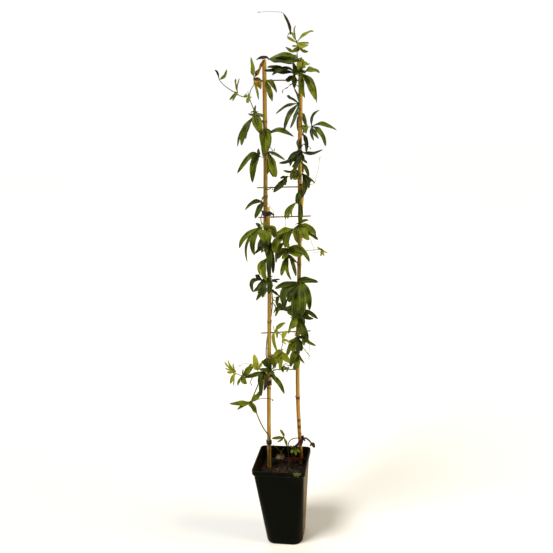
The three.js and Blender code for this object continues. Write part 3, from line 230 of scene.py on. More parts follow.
# Leaves by their stem: the hub, where the lobes meet, then each lobe as its tip, its width and the
# place (u, w) that its rib passes half way, where it bends.
LEAVES = {
    "left_stem": [
        ((-84, -10, 176), [(-136, -20, 176, 13.5, -107, 174), (-118, -26, 158, 7.5, -104, 168),
            (-69, -22, 145, 17, -82, 165), (-62, -22, 204, 13, -69, 191)]),
        ((-50, -16, 255), [(-58, -30, 191, 11, -58, 217), (-52, -34, 204, 10.5, -45, 232),
            (-63, -22, 221, 9.5, -60, 241), (-101, -18, 242, 10.5, -74, 247)]),
        ((-36, -12, 244), [(-1, -26, 193, 12, -17, 227), (-22, -30, 226, 6.5, -26, 242)]),
        ((-65, -14, 259), [(-73, -20, 300, 13, -71, 282), (-56, -26, 279, 7.5, -59, 272),
            (-81, -8, 274, 9.5, -71, 266)]),
        ((-33, -15, 258), [(-56, -24, 280, 12.5, -47, 275), (-63, -22, 262, 12, -41, 257),
            (-40, -38, 297, 12, -27, 274), (-50, -32, 283, 11, -38, 281),
            (-34, -30, 245, 11, -30, 253)]),
        ((-103, -15, 248), [(-115, -24, 220, 7.5, -111, 233), (-93, -28, 225, 14, -100, 235),
            (-82, -20, 278, 14, -89, 262), (-100, -28, 262, 7.5, -101, 257),
            (-77, -27, 270, 12, -89, 254)]),
        ((-119, -17, 260), [(-135, -24, 289, 5.5, -132, 273), (-123, -28, 279, 5, -125, 270),
            (-144, -14, 286, 5.5, -136, 272), (-145, -26, 269, 4.5, -134, 263),
            (-140, -20, 259, 6.5, -132, 257), (-132, -24, 228, 8, -129, 239),
            (-125, -28, 221, 5, -124, 246)]),
        ((-40, -12, 534), [(-54, -26, 495, 7, -57, 518), (-40, -30, 482, 13.5, -48, 506)]),
        ((-51, -14, 483), [(-72, -28, 454, 10, -74, 480), (-64, -22, 498, 11.5, -61, 492),
            (-72, -34, 456, 11, -57, 468), (-66, -36, 434, 13, -48, 465),
            (-36, -30, 448, 15, -34, 477)]),
        ((-27, -11, 484), [(-7, -16, 484, 4.5, -18, 483), (-13, -22, 477, 7, -22, 480)]),
        ((-27, -13, 570), [(-68, -26, 546, 11.5, -41, 567), (-47, -32, 551, 7.5, -37, 560),
            (-33, -28, 486, 13.5, -33, 533), (-25, -24, 499, 8.5, -24, 524)]),
        ((-51, -15, 608), [(-102, -24, 561, 11.5, -85, 590), (-84, -30, 527, 6.5, -83, 575),
            (-67, -34, 543, 13.5, -70, 579), (-39, -32, 572, 15, -49, 591),
            (-63, -16, 619, 8.5, -56, 613)]),
        ((-43, -15, 607), [(-20, -20, 583, 16.5, -25, 602), (-35, -34, 567, 14.5, -34, 589),
            (-46, -26, 621, 11.5, -42, 615)]),
        ((-44, -10, 665), [(-87, -22, 649, 10, -64, 667), (-64, -28, 629, 13, -54, 651)]),
        ((-51, -10, 770), [(-53, -14, 787, 7, -53, 777), (-102, -24, 732, 13.5, -73, 768),
            (-68, -30, 711, 16.5, -64, 753)]),
        ((-32, -12, 779), [(7, -18, 760, 8, -17, 774), (-15, -28, 722, 17.5, -22, 746),
            (-34, -24, 729, 9, -30, 754)]),
        ((-35, -12, 829), [(-42, -20, 767, 9.5, -42, 801), (-28, -26, 788, 9, -28, 814),
            (-38, -32, 777, 11, -33, 793)]),
        ((-30, -12, 818), [(27, -20, 811, 13, -4, 825)]),
        ((-65, -14, 852), [(-100, -24, 792, 6.5, -89, 827), (-91, -30, 794, 14.5, -82, 828),
            (-81, -36, 807, 8.5, -77, 834)]),
        ((-60, -10, 865), [(-57, -14, 882, 6, -60, 869), (-74, -16, 863, 8, -66, 859),
            (-45, -28, 817, 20, -55, 842), (-36, -22, 854, 9, -49, 859)]),
        ((-70, -8, 903), [(-76, -12, 906, 6.5, -80, 898), (-75, -14, 885, 8, -74, 890)]),
        ((-96, -10, 907), [(-99, -16, 937, 7, -100, 924), (-91, -20, 937, 4, -96, 925),
            (-114, -18, 892, 6, -105, 901), (-108, -22, 889, 7.5, -102, 904)]),
        ((-136, -12, 935), [(-119, -18, 956, 6.5, -124, 942), (-145, -16, 954, 4.5, -139, 949)]),
        ((-61, -8, 936), [(-66, -12, 982, 11, -61, 952), (-50, -24, 891, 6, -54, 914),
            (-45, -26, 914, 14.5, -50, 929), (-35, -23, 977, 15, -48, 952)]),
        ((-34, -8, 929), [(-10, -14, 906, 11, -22, 927), (-20, -20, 888, 13, -28, 913)]),
        ((-30, 19, 296), [(-44, 34, 268, 10), (-22, 38, 262, 11), (-12, 30, 290, 9)]),
        ((-40, 19, 464), [(-62, 30, 452, 10), (-50, 42, 440, 12), (-32, 38, 444, 10),
            (-24, 26, 468, 8)]),
        ((-46, 22, 586), [(-60, 36, 556, 8), (-50, 42, 548, 10), (-34, 44, 522, 11),
            (-24, 28, 556, 9)]),
        ((-38, 24, 752), [(-12, 38, 738, 9), (-20, 46, 722, 10), (-37, 44, 712, 9)]),
        ((-46, 25, 828), [(-60, 36, 842, 8), (-45, 46, 788, 10), (-36, 42, 784, 9),
            (-22, 30, 820, 8)]),
    ],
    "right_stem": [
        ((35, -4, 1011), [(34, -4, 1046, 4.5, 30, 1033), (73, -14, 1034, 7.5, 55, 1029),
            (15, -12, 1024, 6.5, 21, 1018), (62, -16, 1010, 5, 55, 1010),
            (61, -22, 1006, 11, 47, 1004)]),
        ((43, -5, 1006), [(61, -18, 993, 12, 47, 993), (10, -16, 1003, 13, 29, 993),
            (26, -24, 1005, 7.5, 29, 1002)]),
        ((22, -4, 1027), [(6, -3, 1070, 7, 17, 1050)]),
        ((-27, -14, 976), [(40, -24, 977, 12, 7, 985), (44, -32, 973, 18, 13, 975),
            (-55, -8, 975, 9, -36, 980), (26, -34, 967, 11, -6, 972)]),
        ((31, -14, 948), [(-30, -22, 962, 13, -10, 959), (-37, -28, 954, 13.5, -10, 952),
            (-20, -34, 943, 11, 7, 957), (54, -30, 947, 18.5, 42, 950)]),
        ((49, -7, 976), [(65, -14, 967, 7.5, 55, 967), (46, -6, 981, 6.5, 44, 976),
            (55, -20, 962, 11.5, 48, 960), (40, -20, 952, 10.5, 40, 965)]),
        ((51, -9, 948), [(86, -18, 948, 13, 67, 954)]),
        ((49, -10, 945), [(79, -26, 884, 8, 70, 927), (76, -34, 891, 14, 64, 920),
            (52, -24, 895, 13, 44, 927)]),
        ((30, -10, 943), [(29, -18, 915, 11.5, 29, 931), (12, -16, 930, 12, 17, 934),
            (26, -14, 972, 13.5, 31, 950)]),
        ((39, -10, 883), [(12, -22, 900, 10, 21, 895), (-13, -28, 861, 7.5, 13, 878),
            (6, -34, 826, 10.5, 17, 859), (19, -38, 830, 7, 29, 851),
            (28, -32, 917, 7.5, 35, 900)]),
        ((68, -8, 833), [(86, -16, 869, 7, 70, 855), (125, -24, 824, 11.5, 94, 837),
            (73, -26, 802, 6.5, 67, 819), (83, -32, 806, 8.5, 75, 818),
            (100, -36, 789, 11.5, 88, 819)]),
        ((54, -8, 834), [(57, -16, 836, 9.5, 55, 836), (54, -20, 818, 13.5, 53, 831)]),
        ((47, -8, 817), [(55, -18, 775, 9.5, 55, 801)]),
        ((44, -12, 780), [(-7, -24, 756, 13.5, 24, 762), (18, -34, 746, 7.5, 26, 763),
            (22, -38, 744, 11.5, 38, 758), (11, -30, 756, 11.5, 29, 773),
            (94, -16, 782, 9.5, 63, 773), (52, -24, 760, 6.5, 48, 766),
            (44, -30, 811, 8, 41, 790)]),
        ((41, -9, 757), [(59, -20, 719, 8.5, 56, 737)]),
        ((36, -10, 735), [(2, -18, 738, 7, 16, 734), (20, -26, 715, 13.5, 26, 732),
            (25, -30, 716, 11.5, 32, 722)]),
        ((12, -14, 724), [(-21, -26, 689, 13.5, -6, 703), (9, -28, 704, 8.5, 6, 710),
            (-4, -16, 722, 7, 0, 721)]),
        ((46, -10, 729), [(61, -22, 695, 9.5, 58, 716), (44, -28, 674, 11.5, 52, 702),
            (76, -18, 707, 5.5, 64, 717)]),
        ((43, -10, 694), [(35, -20, 660, 12.5, 36, 674)]),
        ((32, -10, 664), [(7, -26, 626, 7.5, 11, 648), (12, -32, 627, 7, 16, 642),
            (22, -34, 629, 5, 21, 649)]),
        ((39, -9, 614), [(61, -14, 622, 7, 48, 621), (41, -16, 662, 12, 42, 639)]),
        ((38, -12, 611), [(78, -24, 591, 10, 60, 608), (78, -32, 584, 10, 63, 600),
            (83, -28, 577, 8, 69, 586), (61, -38, 575, 20, 48, 592), (37, -30, 567, 13, 29, 593)]),
        ((24, -14, 602), [(-18, -26, 586, 13, 0, 598), (-13, -32, 547, 17.5, -16, 572),
            (6, -34, 558, 9, 5, 584), (13, -36, 556, 10.5, 10, 579)]),
        ((14, -12, 542), [(-5, -26, 492, 12.5, 2, 517), (19, -30, 481, 8.5, 8, 510),
            (30, -26, 489, 9, 24, 515), (34, -20, 522, 8.5, 17, 536)]),
        ((10, -13, 557), [(62, -24, 523, 15.5, 41, 553), (46, -30, 540, 18.5, 25, 546),
            (-12, -26, 533, 12, -2, 550), (-3, -34, 532, 13, 6, 543)]),
        ((5, -15, 569), [(-17, -30, 523, 10.5, -10, 558)]),
        ((91, -16, 552), [(81, -20, 559, 8, 87, 552), (91, -24, 556, 7, 91, 554),
            (106, -18, 543, 6, 96, 547), (89, -26, 536, 5, 91, 544), (98, -28, 536, 5, 94, 543)]),
        ((33, -9, 480), [(83, -18, 473, 15, 56, 479)]),
        ((38, -14, 474), [(-20, -26, 461, 13.5, 4, 470), (1, -36, 417, 18.5, 4, 456),
            (15, -42, 426, 16, 17, 449)]),
        ((44, -16, 476), [(29, -44, 392, 20, 28, 429), (43, -48, 392, 20, 45, 429),
            (62, -36, 405, 15, 58, 444)]),
        ((-9, -13, 443), [(-15, -20, 416, 8.5, -16, 433), (-28, -18, 461, 8, -22, 452)]),
        ((-14, -13, 418), [(-25, -18, 401, 4.5, -19, 411), (-21, -22, 393, 6.5, -16, 405),
            (-13, -24, 405, 4.5, -9, 414)]),
        ((23, -13, 394), [(10, -22, 348, 6.5, 16, 367), (16, -27, 361, 12, 27, 374),
            (8, -26, 403, 12.5, 17, 398)]),
        ((3, -13, 407), [(11, -22, 430, 7, 5, 429), (-10, -24, 427, 14, -6, 417),
            (23, -26, 419, 15, 13, 411)]),
        ((48, -10, 407), [(83, -20, 382, 11, 64, 397), (72, -28, 383, 13, 52, 390),
            (28, -24, 386, 14, 36, 395)]),
        ((38, -10, 389), [(58, -22, 324, 11.5, 51, 352), (49, -30, 339, 12.5, 38, 361)]),
        ((50, -12, 335), [(78, -20, 314, 8.5, 59, 325), (49, -22, 316, 10, 48, 328)]),
        ((-22, -11, 356), [(4, -18, 376, 9.5, -10, 369), (-15, -26, 298, 8, -26, 334),
            (-17, -20, 337, 7, -18, 353)]),
        ((-4, -12, 326), [(10, -18, 353, 10.5, 1, 347), (17, -22, 322, 6, 4, 332)]),
        ((-6, -12, 304), [(-34, -22, 282, 10, -16, 302), (14, -28, 274, 15, 2, 288),
            (-24, -26, 266, 12, -17, 287), (-11, -32, 254, 10, -9, 278)]),
        ((28, -10, 338), [(6, -16, 291, 12, 16, 318), (18, -24, 302, 12.5, 24, 313),
            (10, -20, 330, 6, 20, 331)]),
        ((31, -10, 302), [(50, -20, 270, 6.5, 38, 286), (15, -24, 263, 15, 22, 290),
            (21, -30, 256, 15, 30, 270)]),
        ((32, -10, 340), [(41, -20, 302, 10.5, 40, 318), (32, -28, 296, 11, 34, 313),
            (52, -24, 335, 9, 44, 337)]),
        ((2, -10, 256), [(-3, -18, 248, 12, -4, 259), (5, -24, 263, 15, 4, 261)]),
        ((-14, 16, 284), [(-24, 30, 270, 9), (-8, 34, 262, 10), (4, 28, 280, 9)]),
        ((40, 19, 400), [(20, 30, 392, 9), (30, 42, 364, 12), (50, 42, 366, 11), (60, 28, 390, 9)]),
        ((36, 19, 470), [(14, 32, 458, 10), (26, 44, 430, 12), (46, 44, 432, 12),
            (56, 28, 456, 9)]),
        ((38, 24, 762), [(16, 34, 752, 10), (26, 46, 726, 12), (48, 44, 730, 11),
            (58, 30, 752, 8)]),
        ((44, 24, 864), [(26, 36, 852, 9), (36, 46, 824, 11), (56, 42, 832, 10)]),
    ],
    "base_shoot_left": [
        ((-3, -5, 76), [(-14, -8, 98, 8, -7, 88), (-34, -12, 75, 8, -19, 76),
            (-21, -16, 65, 5, -12, 68.5), (5, -14, 50, 7, 0.5, 64)]),
    ],
    "base_shoot_right": [
        ((66, -12, 57), [(75, -18, 42, 6.5, 71.5, 52), (62, -18, 47, 4, 65, 51)]),
        ((43, -11, 69), [(22, -16, 45, 6, 32, 55), (38, -18, 50, 6, 42, 60),
            (47, -14, 78, 7, 44, 74), (50, -18, 62, 5, 48, 66)]),
        ((23, -9, 42), [(10, -14, 51, 8), (14, -18, 31, 9), (27, -22, 24, 9), (37, -20, 31, 9),
            (31, -14, 52, 8), (20, -14, 54, 7)]),
    ],
}

# Dead curls that hang on to the stems, each as the places that it passes.
CURLS = {
    "left_stem": [
        [(-34, -10, 783), (-30, -14, 789), (-24, -15, 786), (-21, -15, 780)],
        [(-33, -12, 776), (-26, -16, 771), (-19, -16, 776), (-17, -14, 786)],
        [(-80, -14, 240), (-84, -16, 229), (-81, -17, 220)],
        [(-45, -14, 236), (-37, -18, 240), (-31, -19, 234), (-36, -19, 228)],
        [(-47, -13, 248), (-41, -19, 251), (-36, -19, 245), (-40, -18, 238)],
        [(-30, -10, 695), (-25, -14, 700), (-22, -14, 693)],
    ],
    "right_stem": [
        [(50, -12, 795), (55, -16, 790), (62, -17, 789), (66, -16, 783)],
        [(47, -12, 687), (55, -16, 692), (62, -17, 702), (65, -16, 713), (60, -15, 722),
            (54, -15, 716)],
        [(48, -12, 707), (56, -16, 716), (62, -16, 727), (57, -15, 735)],
        [(44, -12, 312), (50, -16, 306), (57, -17, 296), (64, -16, 287)],
        [(20, -14, 272), (10, -17, 266), (4, -18, 272), (-4, -17, 268)],
        [(24, -12, 925), (13, -16, 917), (4, -17, 912), (2, -16, 905)],
        [(30, -12, 330), (22, -17, 326), (14, -18, 331), (10, -17, 324)],
    ],
}

# Dead stalks that stand in the soil, as the places that they pass.
DRY_STALKS = [
    [(-9, 34, 14), (-7, 31, 30), (-15, 24, 40), (-24, 16, 51), (-32, 9, 59)],
    [(-12, 33, 16), (-11, 30, 35), (-4.6, 26, 46)],
]

# Tendrils, as the places that they pass.
TENDRILS = {
    "left_stem": [
        [(-84, -14, 262), (-84, -15, 274), (-95, -17, 278), (-107, -19, 274)],
        [(-74, -8, 183), (-66, -8, 183), (-54, -7, 184), (-46, -6, 184), (-39, -9, 183),
            (-33, -6, 181), (-31, 1, 180)],
        [(-42, -14, 466), (-42, -18, 452), (-45, -20, 443), (-50, -18, 444)],
        [(-30, -8, 657), (-24, -10, 650), (-20.5, -12, 640), (-22, -13, 629), (-26, -12, 633)],
        [(-28, -9, 471), (-16, -11, 465), (-6, -13, 456)],
    ],
    "right_stem": [
        [(64, -24, 578), (68, -24, 567), (73, -23, 556), (73, -22, 546), (80, -18, 545),
            (90, -16, 548)],
        [(7, -14, 603), (7, -15, 620), (7, -16, 636)],
        [(74, -18, 707), (78, -18, 720), (83, -17, 740), (86, -16, 760)],
        [(60, -20, 326), (62, -22, 308), (60, -23, 296), (60, -23, 286)],
        [(7, -6, 1070), (-10, -7, 1073), (-30, -9, 1074), (-44, -12, 1072)],
    ],
}

# Tendrils that have turned thick and red where they grip a cane, by their first place.
RED_GRIPS = {(-74, -8, 183)}

# How young a leaf is, by its hub: 0 for an old one, 1 for one that has just opened and -1 for one
# that has turned dark red.
YOUNG = {
    (-65, 259): 0.95, (-33, 258): 0.25, (-119, 260): 0.85, (-103, 248): 0.35, (-4, 326): 0.95,
    (-6, 304): 0.5, (-22, 356): 0.55, (28, 338): 0.35, (91, 552): 0.8, (35, 1011): 0.6,
    (43, 1006): 0.5, (22, 1027): 0.7, (49, 976): 0.55, (-61, 936): 0.4, (-136, 935): 0.5,
    (-96, 907): 0.5, (-70, 903): 0.5, (-3, 76): 0.3, (23, 42): 0.1, (-9, 443): 0.3, (43, 69): -0.9,
    (66, 57): -0.6,
}

# Leaves and lobes that differ from the rest, by their hub or tip. Shade runs from 0 for the darkest
# blue-green to 1 for a bright yellow-green; the listed shades follow how dark or light each leaf
# looks, so they carry painted shade and painted light as well as its own green. Withered runs from
# 0 to 1 for a dead brown blade, and to -1 for one that is still turning orange.
SHADES = {
    (-33, 258): 0.0, (-4, 326): 0.9, (-65, 259): 1.0, (-37, 954): 0.0, (-20, 943): 0.1,
    (31, 948): 0.15, (-27, 976): 0.55, (44, 973): 0.25, (26, 967): 0.3, (49, 945): 0.75,
    (51, 948): 0.7, (30, 943): 0.3, (-61, 936): 0.7, (-34, 929): 0.85, (39, 883): 0.35,
    (68, 833): 0.5, (-60, 865): 0.6, (-65, 852): 0.35, (-51, 770): 0.35, (-32, 779): 0.7,
    (44, 780): 0.1, (46, 729): 0.25, (12, 724): 0.1, (-51, 608): 0.4, (-43, 607): 0.6,
    (38, 611): 0.75, (24, 602): 0.5, (10, 557): 0.7, (38, 474): 0.15, (44, 476): 0.28,
    (33, 480): 0.25, (-51, 483): 0.15, (48, 407): 0.15, (-84, 176): 0.55, (-50, 255): 0.35,
    (-36, 244): 0.5, (-9, 443): 0.1, (14, 542): 0.45, (23, 42): 0.3, (-3, 76): 0.35, (-34, 75): 0.0,
}
WITHERED = {
    (22, 1027): 0.85, (-55, 975): 0.75, (-35, 977): -0.9, (-45, 914): -0.6, (-145, 954): 0.8,
    (-119, 956): 0.5, (-52, 204): 0.7, (-63, 221): 0.5, (75, 42): 0.8, (62, 47): 0.6,
    (-56, 234): -0.5, (-72, 456): 0.35, (-40, 482): 0.3, (10, 1003): 0.5, (-7, 756): 0.2,
}

# ---------------------------------------------------------------- frames and curves

# Where the visitor's eye is, how it is turned, raised and tilted, in degrees, and the width and the
# focal length of its view, in one measure.
VISITOR = np.array((264.4, -1335.1, 989.0))
YAW, PITCH, ROLL = -10.61, -12.86, -3.46
VIEW_WIDTH, VIEW_LENGTH = 553, 600

# The trellis's foot, its turn about the pot's middle and its lean, and its own directions.
FOOT = np.array((4.7, 19.3, SOIL_TOP))
TURN = math.radians(15.8)
LEAN = math.radians(2.6)
ACROSS = np.array((math.cos(TURN), math.sin(TURN), 0.0))
BEHIND = np.array((-math.sin(TURN), math.cos(TURN), 0.0))
UP = np.array((0.0, 0.0, 1.0))
U = ACROSS * math.cos(LEAN) - UP * math.sin(LEAN)
W = ACROSS * math.sin(LEAN) + UP * math.cos(LEAN)


def on_trellis(u, v, w):
    """A place that is given in the trellis's own frame."""
    return FOOT + U * u + BEHIND * v + W * w


def seen(place):
    """A place that covers (u, w) of the trellis for the visitor, and lies v behind its plane."""
    u, v, w = place[:3]
    point = on_trellis(u, 0, w)
    sight = point - VISITOR
    return point + sight * v / sight.dot(BEHIND)


def round_angles(count):
    """The angles of points spread evenly round a circle."""
    return np.linspace(0, 2 * math.pi, count, endpoint=False)


def millimetres(length):
    """A length of the dressing, kept in metres, as millimetres to the same precision."""
    return float(np.float32(length / MM))


def unit(vector):
    return vector / max(np.linalg.norm(vector), 1e-9)


def smooth_step(value, start, end):
    """Rises smoothly from 0 to 1 as the value goes from start to end."""
    share = np.clip((value - start) / (end - start), 0, 1)
    return share * share * (3 - 2 * share)


def bow(start, middle, end, t):
    """The place at share t of a curve that leaves start towards middle and comes in to end."""
    return (1 - t) ** 2 * start + 2 * t * (1 - t) * middle + t ** 2 * end


def smooth_path(places, samples=SAMPLES):
    """A centripetal curve through the places, with the same number of samples in each span."""
    p = np.array(places, float)
    p = np.vstack([2 * p[0] - p[1], p, 2 * p[-1] - p[-2]])
    t = np.linspace(0, 1, samples, endpoint=False)[:, None]
    spans = []
    for a, b, c, d in zip(p, p[1:], p[2:], p[3:]):
        gaps = [max(math.sqrt(np.linalg.norm(e)), 1e-3) for e in (b - a, c - b, d - c)]
        start = ((b - a) / gaps[0] - (c - a) / (gaps[0] + gaps[1]) + (c - b) / gaps[1]) * gaps[1]
        end = ((c - b) / gaps[1] - (d - b) / (gaps[1] + gaps[2]) + (d - c) / gaps[2]) * gaps[1]
        spans.append(b + start * t + (3 * (c - b) - 2 * start - end) * t ** 2
                     + (2 * (b - c) + start + end) * t ** 3)
    return np.vstack([*spans, p[-2:-1]])


def lengths_along(path):
    """How far along a path each of its points is."""
    return np.concatenate([[0], np.cumsum(np.linalg.norm(np.diff(path, axis=0), axis=1))])


def shares_along(path):
    """How far along a path each of its points is, as a share of the whole."""
    lengths = lengths_along(path)
    return lengths / lengths[-1]


def points_at(path, distances):
    """The points at the given distances along a path."""
    lengths = lengths_along(path)
    return np.stack([np.interp(distances, lengths, path[:, axis]) for axis in range(3)], axis=1)


def stem_nodes(path):
    """The places on a smooth path from which leaves grow, at most STEM_STEP apart."""
    lengths = lengths_along(path)[::SAMPLES]
    distances = [0]
    for start, end in zip(lengths, lengths[1:]):
        count = math.ceil((end - start) / STEM_STEP)
        distances += [start + (end - start) * k / count for k in range(1, count + 1)]
    return list(points_at(path, distances))


def cane_centre(name, w):
    """Where a cane's middle is at a height: across the trellis and behind it."""
    depth, line = CANES[name]
    after = next((i for i, (_, height) in enumerate(line) if height >= w), 0)
    after = min(max(after, 1), len(line) - 1)
    (u0, w0), (u1, w1) = line[after - 1], line[after]
    return u0 + (u1 - u0) * (w - w0) / (w1 - w0), depth


def wind(name, turns):
    """Points of a stem that winds round a cane through the given heights and angles."""
    points = []
    for i, (w, angle) in enumerate(turns):
        w0, angle0 = turns[max(i - 1, 0)]
        count = max(1, math.ceil(abs(angle - angle0) / TWINE_STEP))
        for k in range(count if i == 0 else 1, count + 1):
            height = w0 + (w - w0) * k / count
            turn = math.radians(angle0 + (angle - angle0) * k / count)
            u, v = cane_centre(name, height)
            points.append(on_trellis(u + TWINE_RADIUS * math.cos(turn),
                                     v + TWINE_RADIUS * math.sin(turn), height))
    return points


def places_of(runs):
    """The places of a path's runs, one after another."""
    points = []
    for kind, entries in runs:
        if kind == "seen":
            points += [seen(entry) for entry in entries]
        elif kind == "trellis":
            points += [on_trellis(*entry) for entry in entries]
        else:
            points += wind(kind.split()[1], entries)
    return points


def nearest_node(nodes, place, side):
    """The nearest node of the stems that lies on the given side of the canes."""
    def clear(node):
        depth = UPPER_LADDER_DEPTH if (node - FOOT).dot(W) > LADDER_CHANGE else 0
        return side * ((node - FOOT).dot(BEHIND) - depth) > ROOT_DEPTH
    return min(filter(clear, nodes), key=lambda node: np.linalg.norm(node - place))


def grown_stems(name):
    """Each shoot of a leafy stem as (radius, smooth path), and the nodes that leaves grow from."""
    shoots, nodes = [], []
    for radius, runs in SHOOTS[name]:
        places = places_of(runs)
        if nodes:
            places.insert(0, nearest_node(nodes, places[0], -1))
        path = smooth_path(places)
        shoots.append((radius, path))
        nodes += stem_nodes(path)
    return shoots, nodes


# ---------------------------------------------------------------- meshes

def show(name, data):
    """Puts a mesh, a light or a camera into the scene."""
    thing = bpy.data.objects.new(name, data)
    bpy.context.scene.collection.objects.link(thing)
    return thing


def finished_mesh(carrier):
    """An object's mesh after its modifiers, as a plain mesh of its own."""
    depsgraph = bpy.context.evaluated_depsgraph_get()
    return bpy.data.meshes.new_from_object(carrier.evaluated_get(depsgraph),
                                           preserve_all_data_layers=True, depsgraph=depsgraph)


def marks_of(shape, *values):
    """Three values for each point of a grid of rings, from numbers, columns, rows or grids."""
    return np.stack([np.broadcast_to(value, shape) for value in values], axis=-1)


class Skin:
    """Vertices, faces and point attributes of one piece, gathered before its mesh is made."""

    def __init__(self):
        self.points, self.faces, self.marks, self.count = [], [], {}, 0

    def add(self, points, faces, **marks):
        """Adds points and the faces between them. Marks are three values for all or for each."""
        points = np.asarray(points, float)
        self.faces += [[self.count + k for k in face] for face in faces]
        self.points.append(points)
        for key, values in marks.items():
            values = np.broadcast_to(np.asarray(values, float), (len(points), 3))
            self.marks.setdefault(key, []).append(values)
        self.count += len(points)

    def add_rings(self, rings, caps=True, **marks):
        """Adds a skin over rings of equal count, with a fan at each end. Marks fit the rings."""
        rings = np.asarray(rings, float)
        rows, count = rings.shape[:2]
        ends = np.stack([rings[0].mean(axis=0), rings[-1].mean(axis=0)])
        points = np.vstack([rings.reshape(-1, 3), ends]) if caps else rings.reshape(-1, 3)
        faces = []
        for i in range(count):
            j = (i + 1) % count
            faces += [(r + i, r + j, r + count + j, r + count + i)
                      for r in range(0, (rows - 1) * count, count)]
            if caps:
                first, top = rows * count, (rows - 1) * count
                faces += [(first, j, i), (first + 1, top + i, top + j)]
        whole = {}
        for key, values in marks.items():
            values = np.broadcast_to(np.asarray(values, float), (rows, count, 3))
            flat = values.reshape(-1, 3)
            tail = [values[0].mean(axis=0), values[-1].mean(axis=0)] if caps else []
            whole[key] = np.vstack([flat, *tail])
        self.add(points, faces, **whole)

    def mesh(self, name, smooth=True):
        """The piece's mesh, in metres, with its marks."""
        mesh = bpy.data.meshes.new(name)
        mesh.from_pydata((np.vstack(self.points) * MM).tolist(), [], self.faces)
        for key, values in self.marks.items():
            layer = mesh.attributes.new(key, "FLOAT_VECTOR", "POINT")
            layer.data.foreach_set("vector", np.vstack(values).astype(np.float32).ravel())
        mesh.polygons.foreach_set("use_smooth", [smooth] * len(mesh.polygons))
        mesh.update()
        return mesh


def ring_mesh(name, rings, caps=True, smooth=True):
    """The mesh of a single skin over rings."""
    skin = Skin()
    skin.add_rings(rings, caps)
    return skin.mesh(name, smooth)


# A heading that no path follows, from which its first normal is worked out.
ODD_HEADING = (0.31, 0.87, 0.38)


def frames_along(path, start):
    """A normal and a binormal at each point of a path, which keep their heading along it."""
    tangents = np.gradient(path, axis=0)
    normal, normals, binormals = np.array(start), [], []
    for tangent in tangents:
        tangent = unit(tangent)
        normal = unit(normal - tangent * normal.dot(tangent))
        normals.append(normal)
        binormals.append(np.cross(tangent, normal))
    return np.array(normals), np.array(binormals)


def round_rings(path, radii, sides, ripple=1, start=ODD_HEADING):
    """Rings of points round a path. A ripple gives each side's share of the radius."""
    normals, binormals = frames_along(path, start)
    angles = round_angles(sides)
    reach = np.asarray(radii, float)[:, None] * (np.ones(sides) * ripple)
    return (path[:, None] + normals[:, None] * (reach * np.cos(angles))[..., None]
            + binormals[:, None] * (reach * np.sin(angles))[..., None])


def rounded_square(half, corner, z, per_corner=10, per_side=6):
    """A ring of points round a square with round corners."""
    ring = []
    for quarter, (sx, sy, ahead) in enumerate(((1, 1, (-1, 0, 0)), (-1, 1, (0, -1, 0)),
                                               (-1, -1, (1, 0, 0)), (1, -1, (0, 1, 0)))):
        for k in range(per_corner):
            angle = (quarter + k / (per_corner - 1)) * math.pi / 2
            ring.append((sx * (half - corner) + corner * math.cos(angle),
                         sy * (half - corner) + corner * math.sin(angle), z))
        start, step = np.array(ring[-1]), np.array(ahead) * 2 * (half - corner) / per_side
        ring += [tuple(start + step * k) for k in range(1, per_side)]
    return ring


def place_piece(name, mesh, material, slot, *nodes):
    """Shows a finished mesh as a piece that stands for the named nodes."""
    mesh.materials.clear()
    mesh.materials.append(material)
    piece = show(name, mesh)
    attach(piece, "root")
    if nodes:
        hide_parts(*nodes)
    return piece


# ---------------------------------------------------------------- node trees

class Wire:
    """A node's output, to be written into expressions. An expression adds its Math nodes."""

    def __init__(self, graph, socket):
        self.graph, self.socket = graph, socket

    def out(self, name):
        return Wire(self.graph, self.socket.node.outputs[name])

    def __add__(self, other):
        return self.graph.maths("ADD", self, other)

    def __sub__(self, other):
        return self.graph.maths("SUBTRACT", self, other)

    def __rsub__(self, other):
        return self.graph.maths("SUBTRACT", other, self)

    def __mul__(self, other):
        return self.graph.maths("MULTIPLY", self, other)

    def __truediv__(self, other):
        return self.graph.maths("DIVIDE", self, other)

    def __abs__(self):
        return self.graph.maths("ABSOLUTE", self)

    __radd__ = __add__
    __rmul__ = __mul__


class Graph:
    """A node tree under construction."""

    def __init__(self, tree):
        self.tree = tree

    def add(self, kind, settings=None, values=(), output=0):
        """Adds a node: its settings first, then its sockets' values or links."""
        node = self.tree.nodes.new(kind)
        for key, value in (settings or {}).items():
            if key == "stops":
                while len(node.color_ramp.elements) < len(value):
                    node.color_ramp.elements.new(0.5)
                for element, (position, tone) in zip(node.color_ramp.elements, value):
                    element.position, element.color = position, tone_of(tone)
            else:
                setattr(node, key, value)
        for key, value in values.items() if isinstance(values, dict) else enumerate(values):
            if isinstance(value, Wire):
                self.tree.links.new(value.socket, node.inputs[key])
            else:
                node.inputs[key].default_value = value
        return Wire(self, node.outputs[output])

    def maths(self, operation, *values):
        return self.add("ShaderNodeMath", {"operation": operation}, values)

    def step(self, value, start, end):
        """Rises smoothly from 0 to 1 as the value goes from start to end."""
        return self.add("ShaderNodeMapRange", {"interpolation_type": "SMOOTHSTEP"},
                        {0: value, 1: start, 2: end})

    def noise(self, place, scale, detail=3.0, distortion=0.0):
        return self.add("ShaderNodeTexNoise", None, {
            "Vector": place, "Scale": scale, "Detail": detail, "Distortion": distortion})


def colour(code):
    """A hexadecimal colour as the shader's own values."""
    parts = [(code >> shift & 255) / 255 for shift in (16, 8, 0)]
    return [p / 12.92 if p <= 0.04045 else ((p + 0.055) / 1.055) ** 2.4 for p in parts]


def tone_of(tone):
    """What a colour socket takes for a wire, a hexadecimal colour or a colour of the dressing."""
    if isinstance(tone, Wire):
        return tone
    return (*(colour(tone) if isinstance(tone, int) else tone), 1.0)


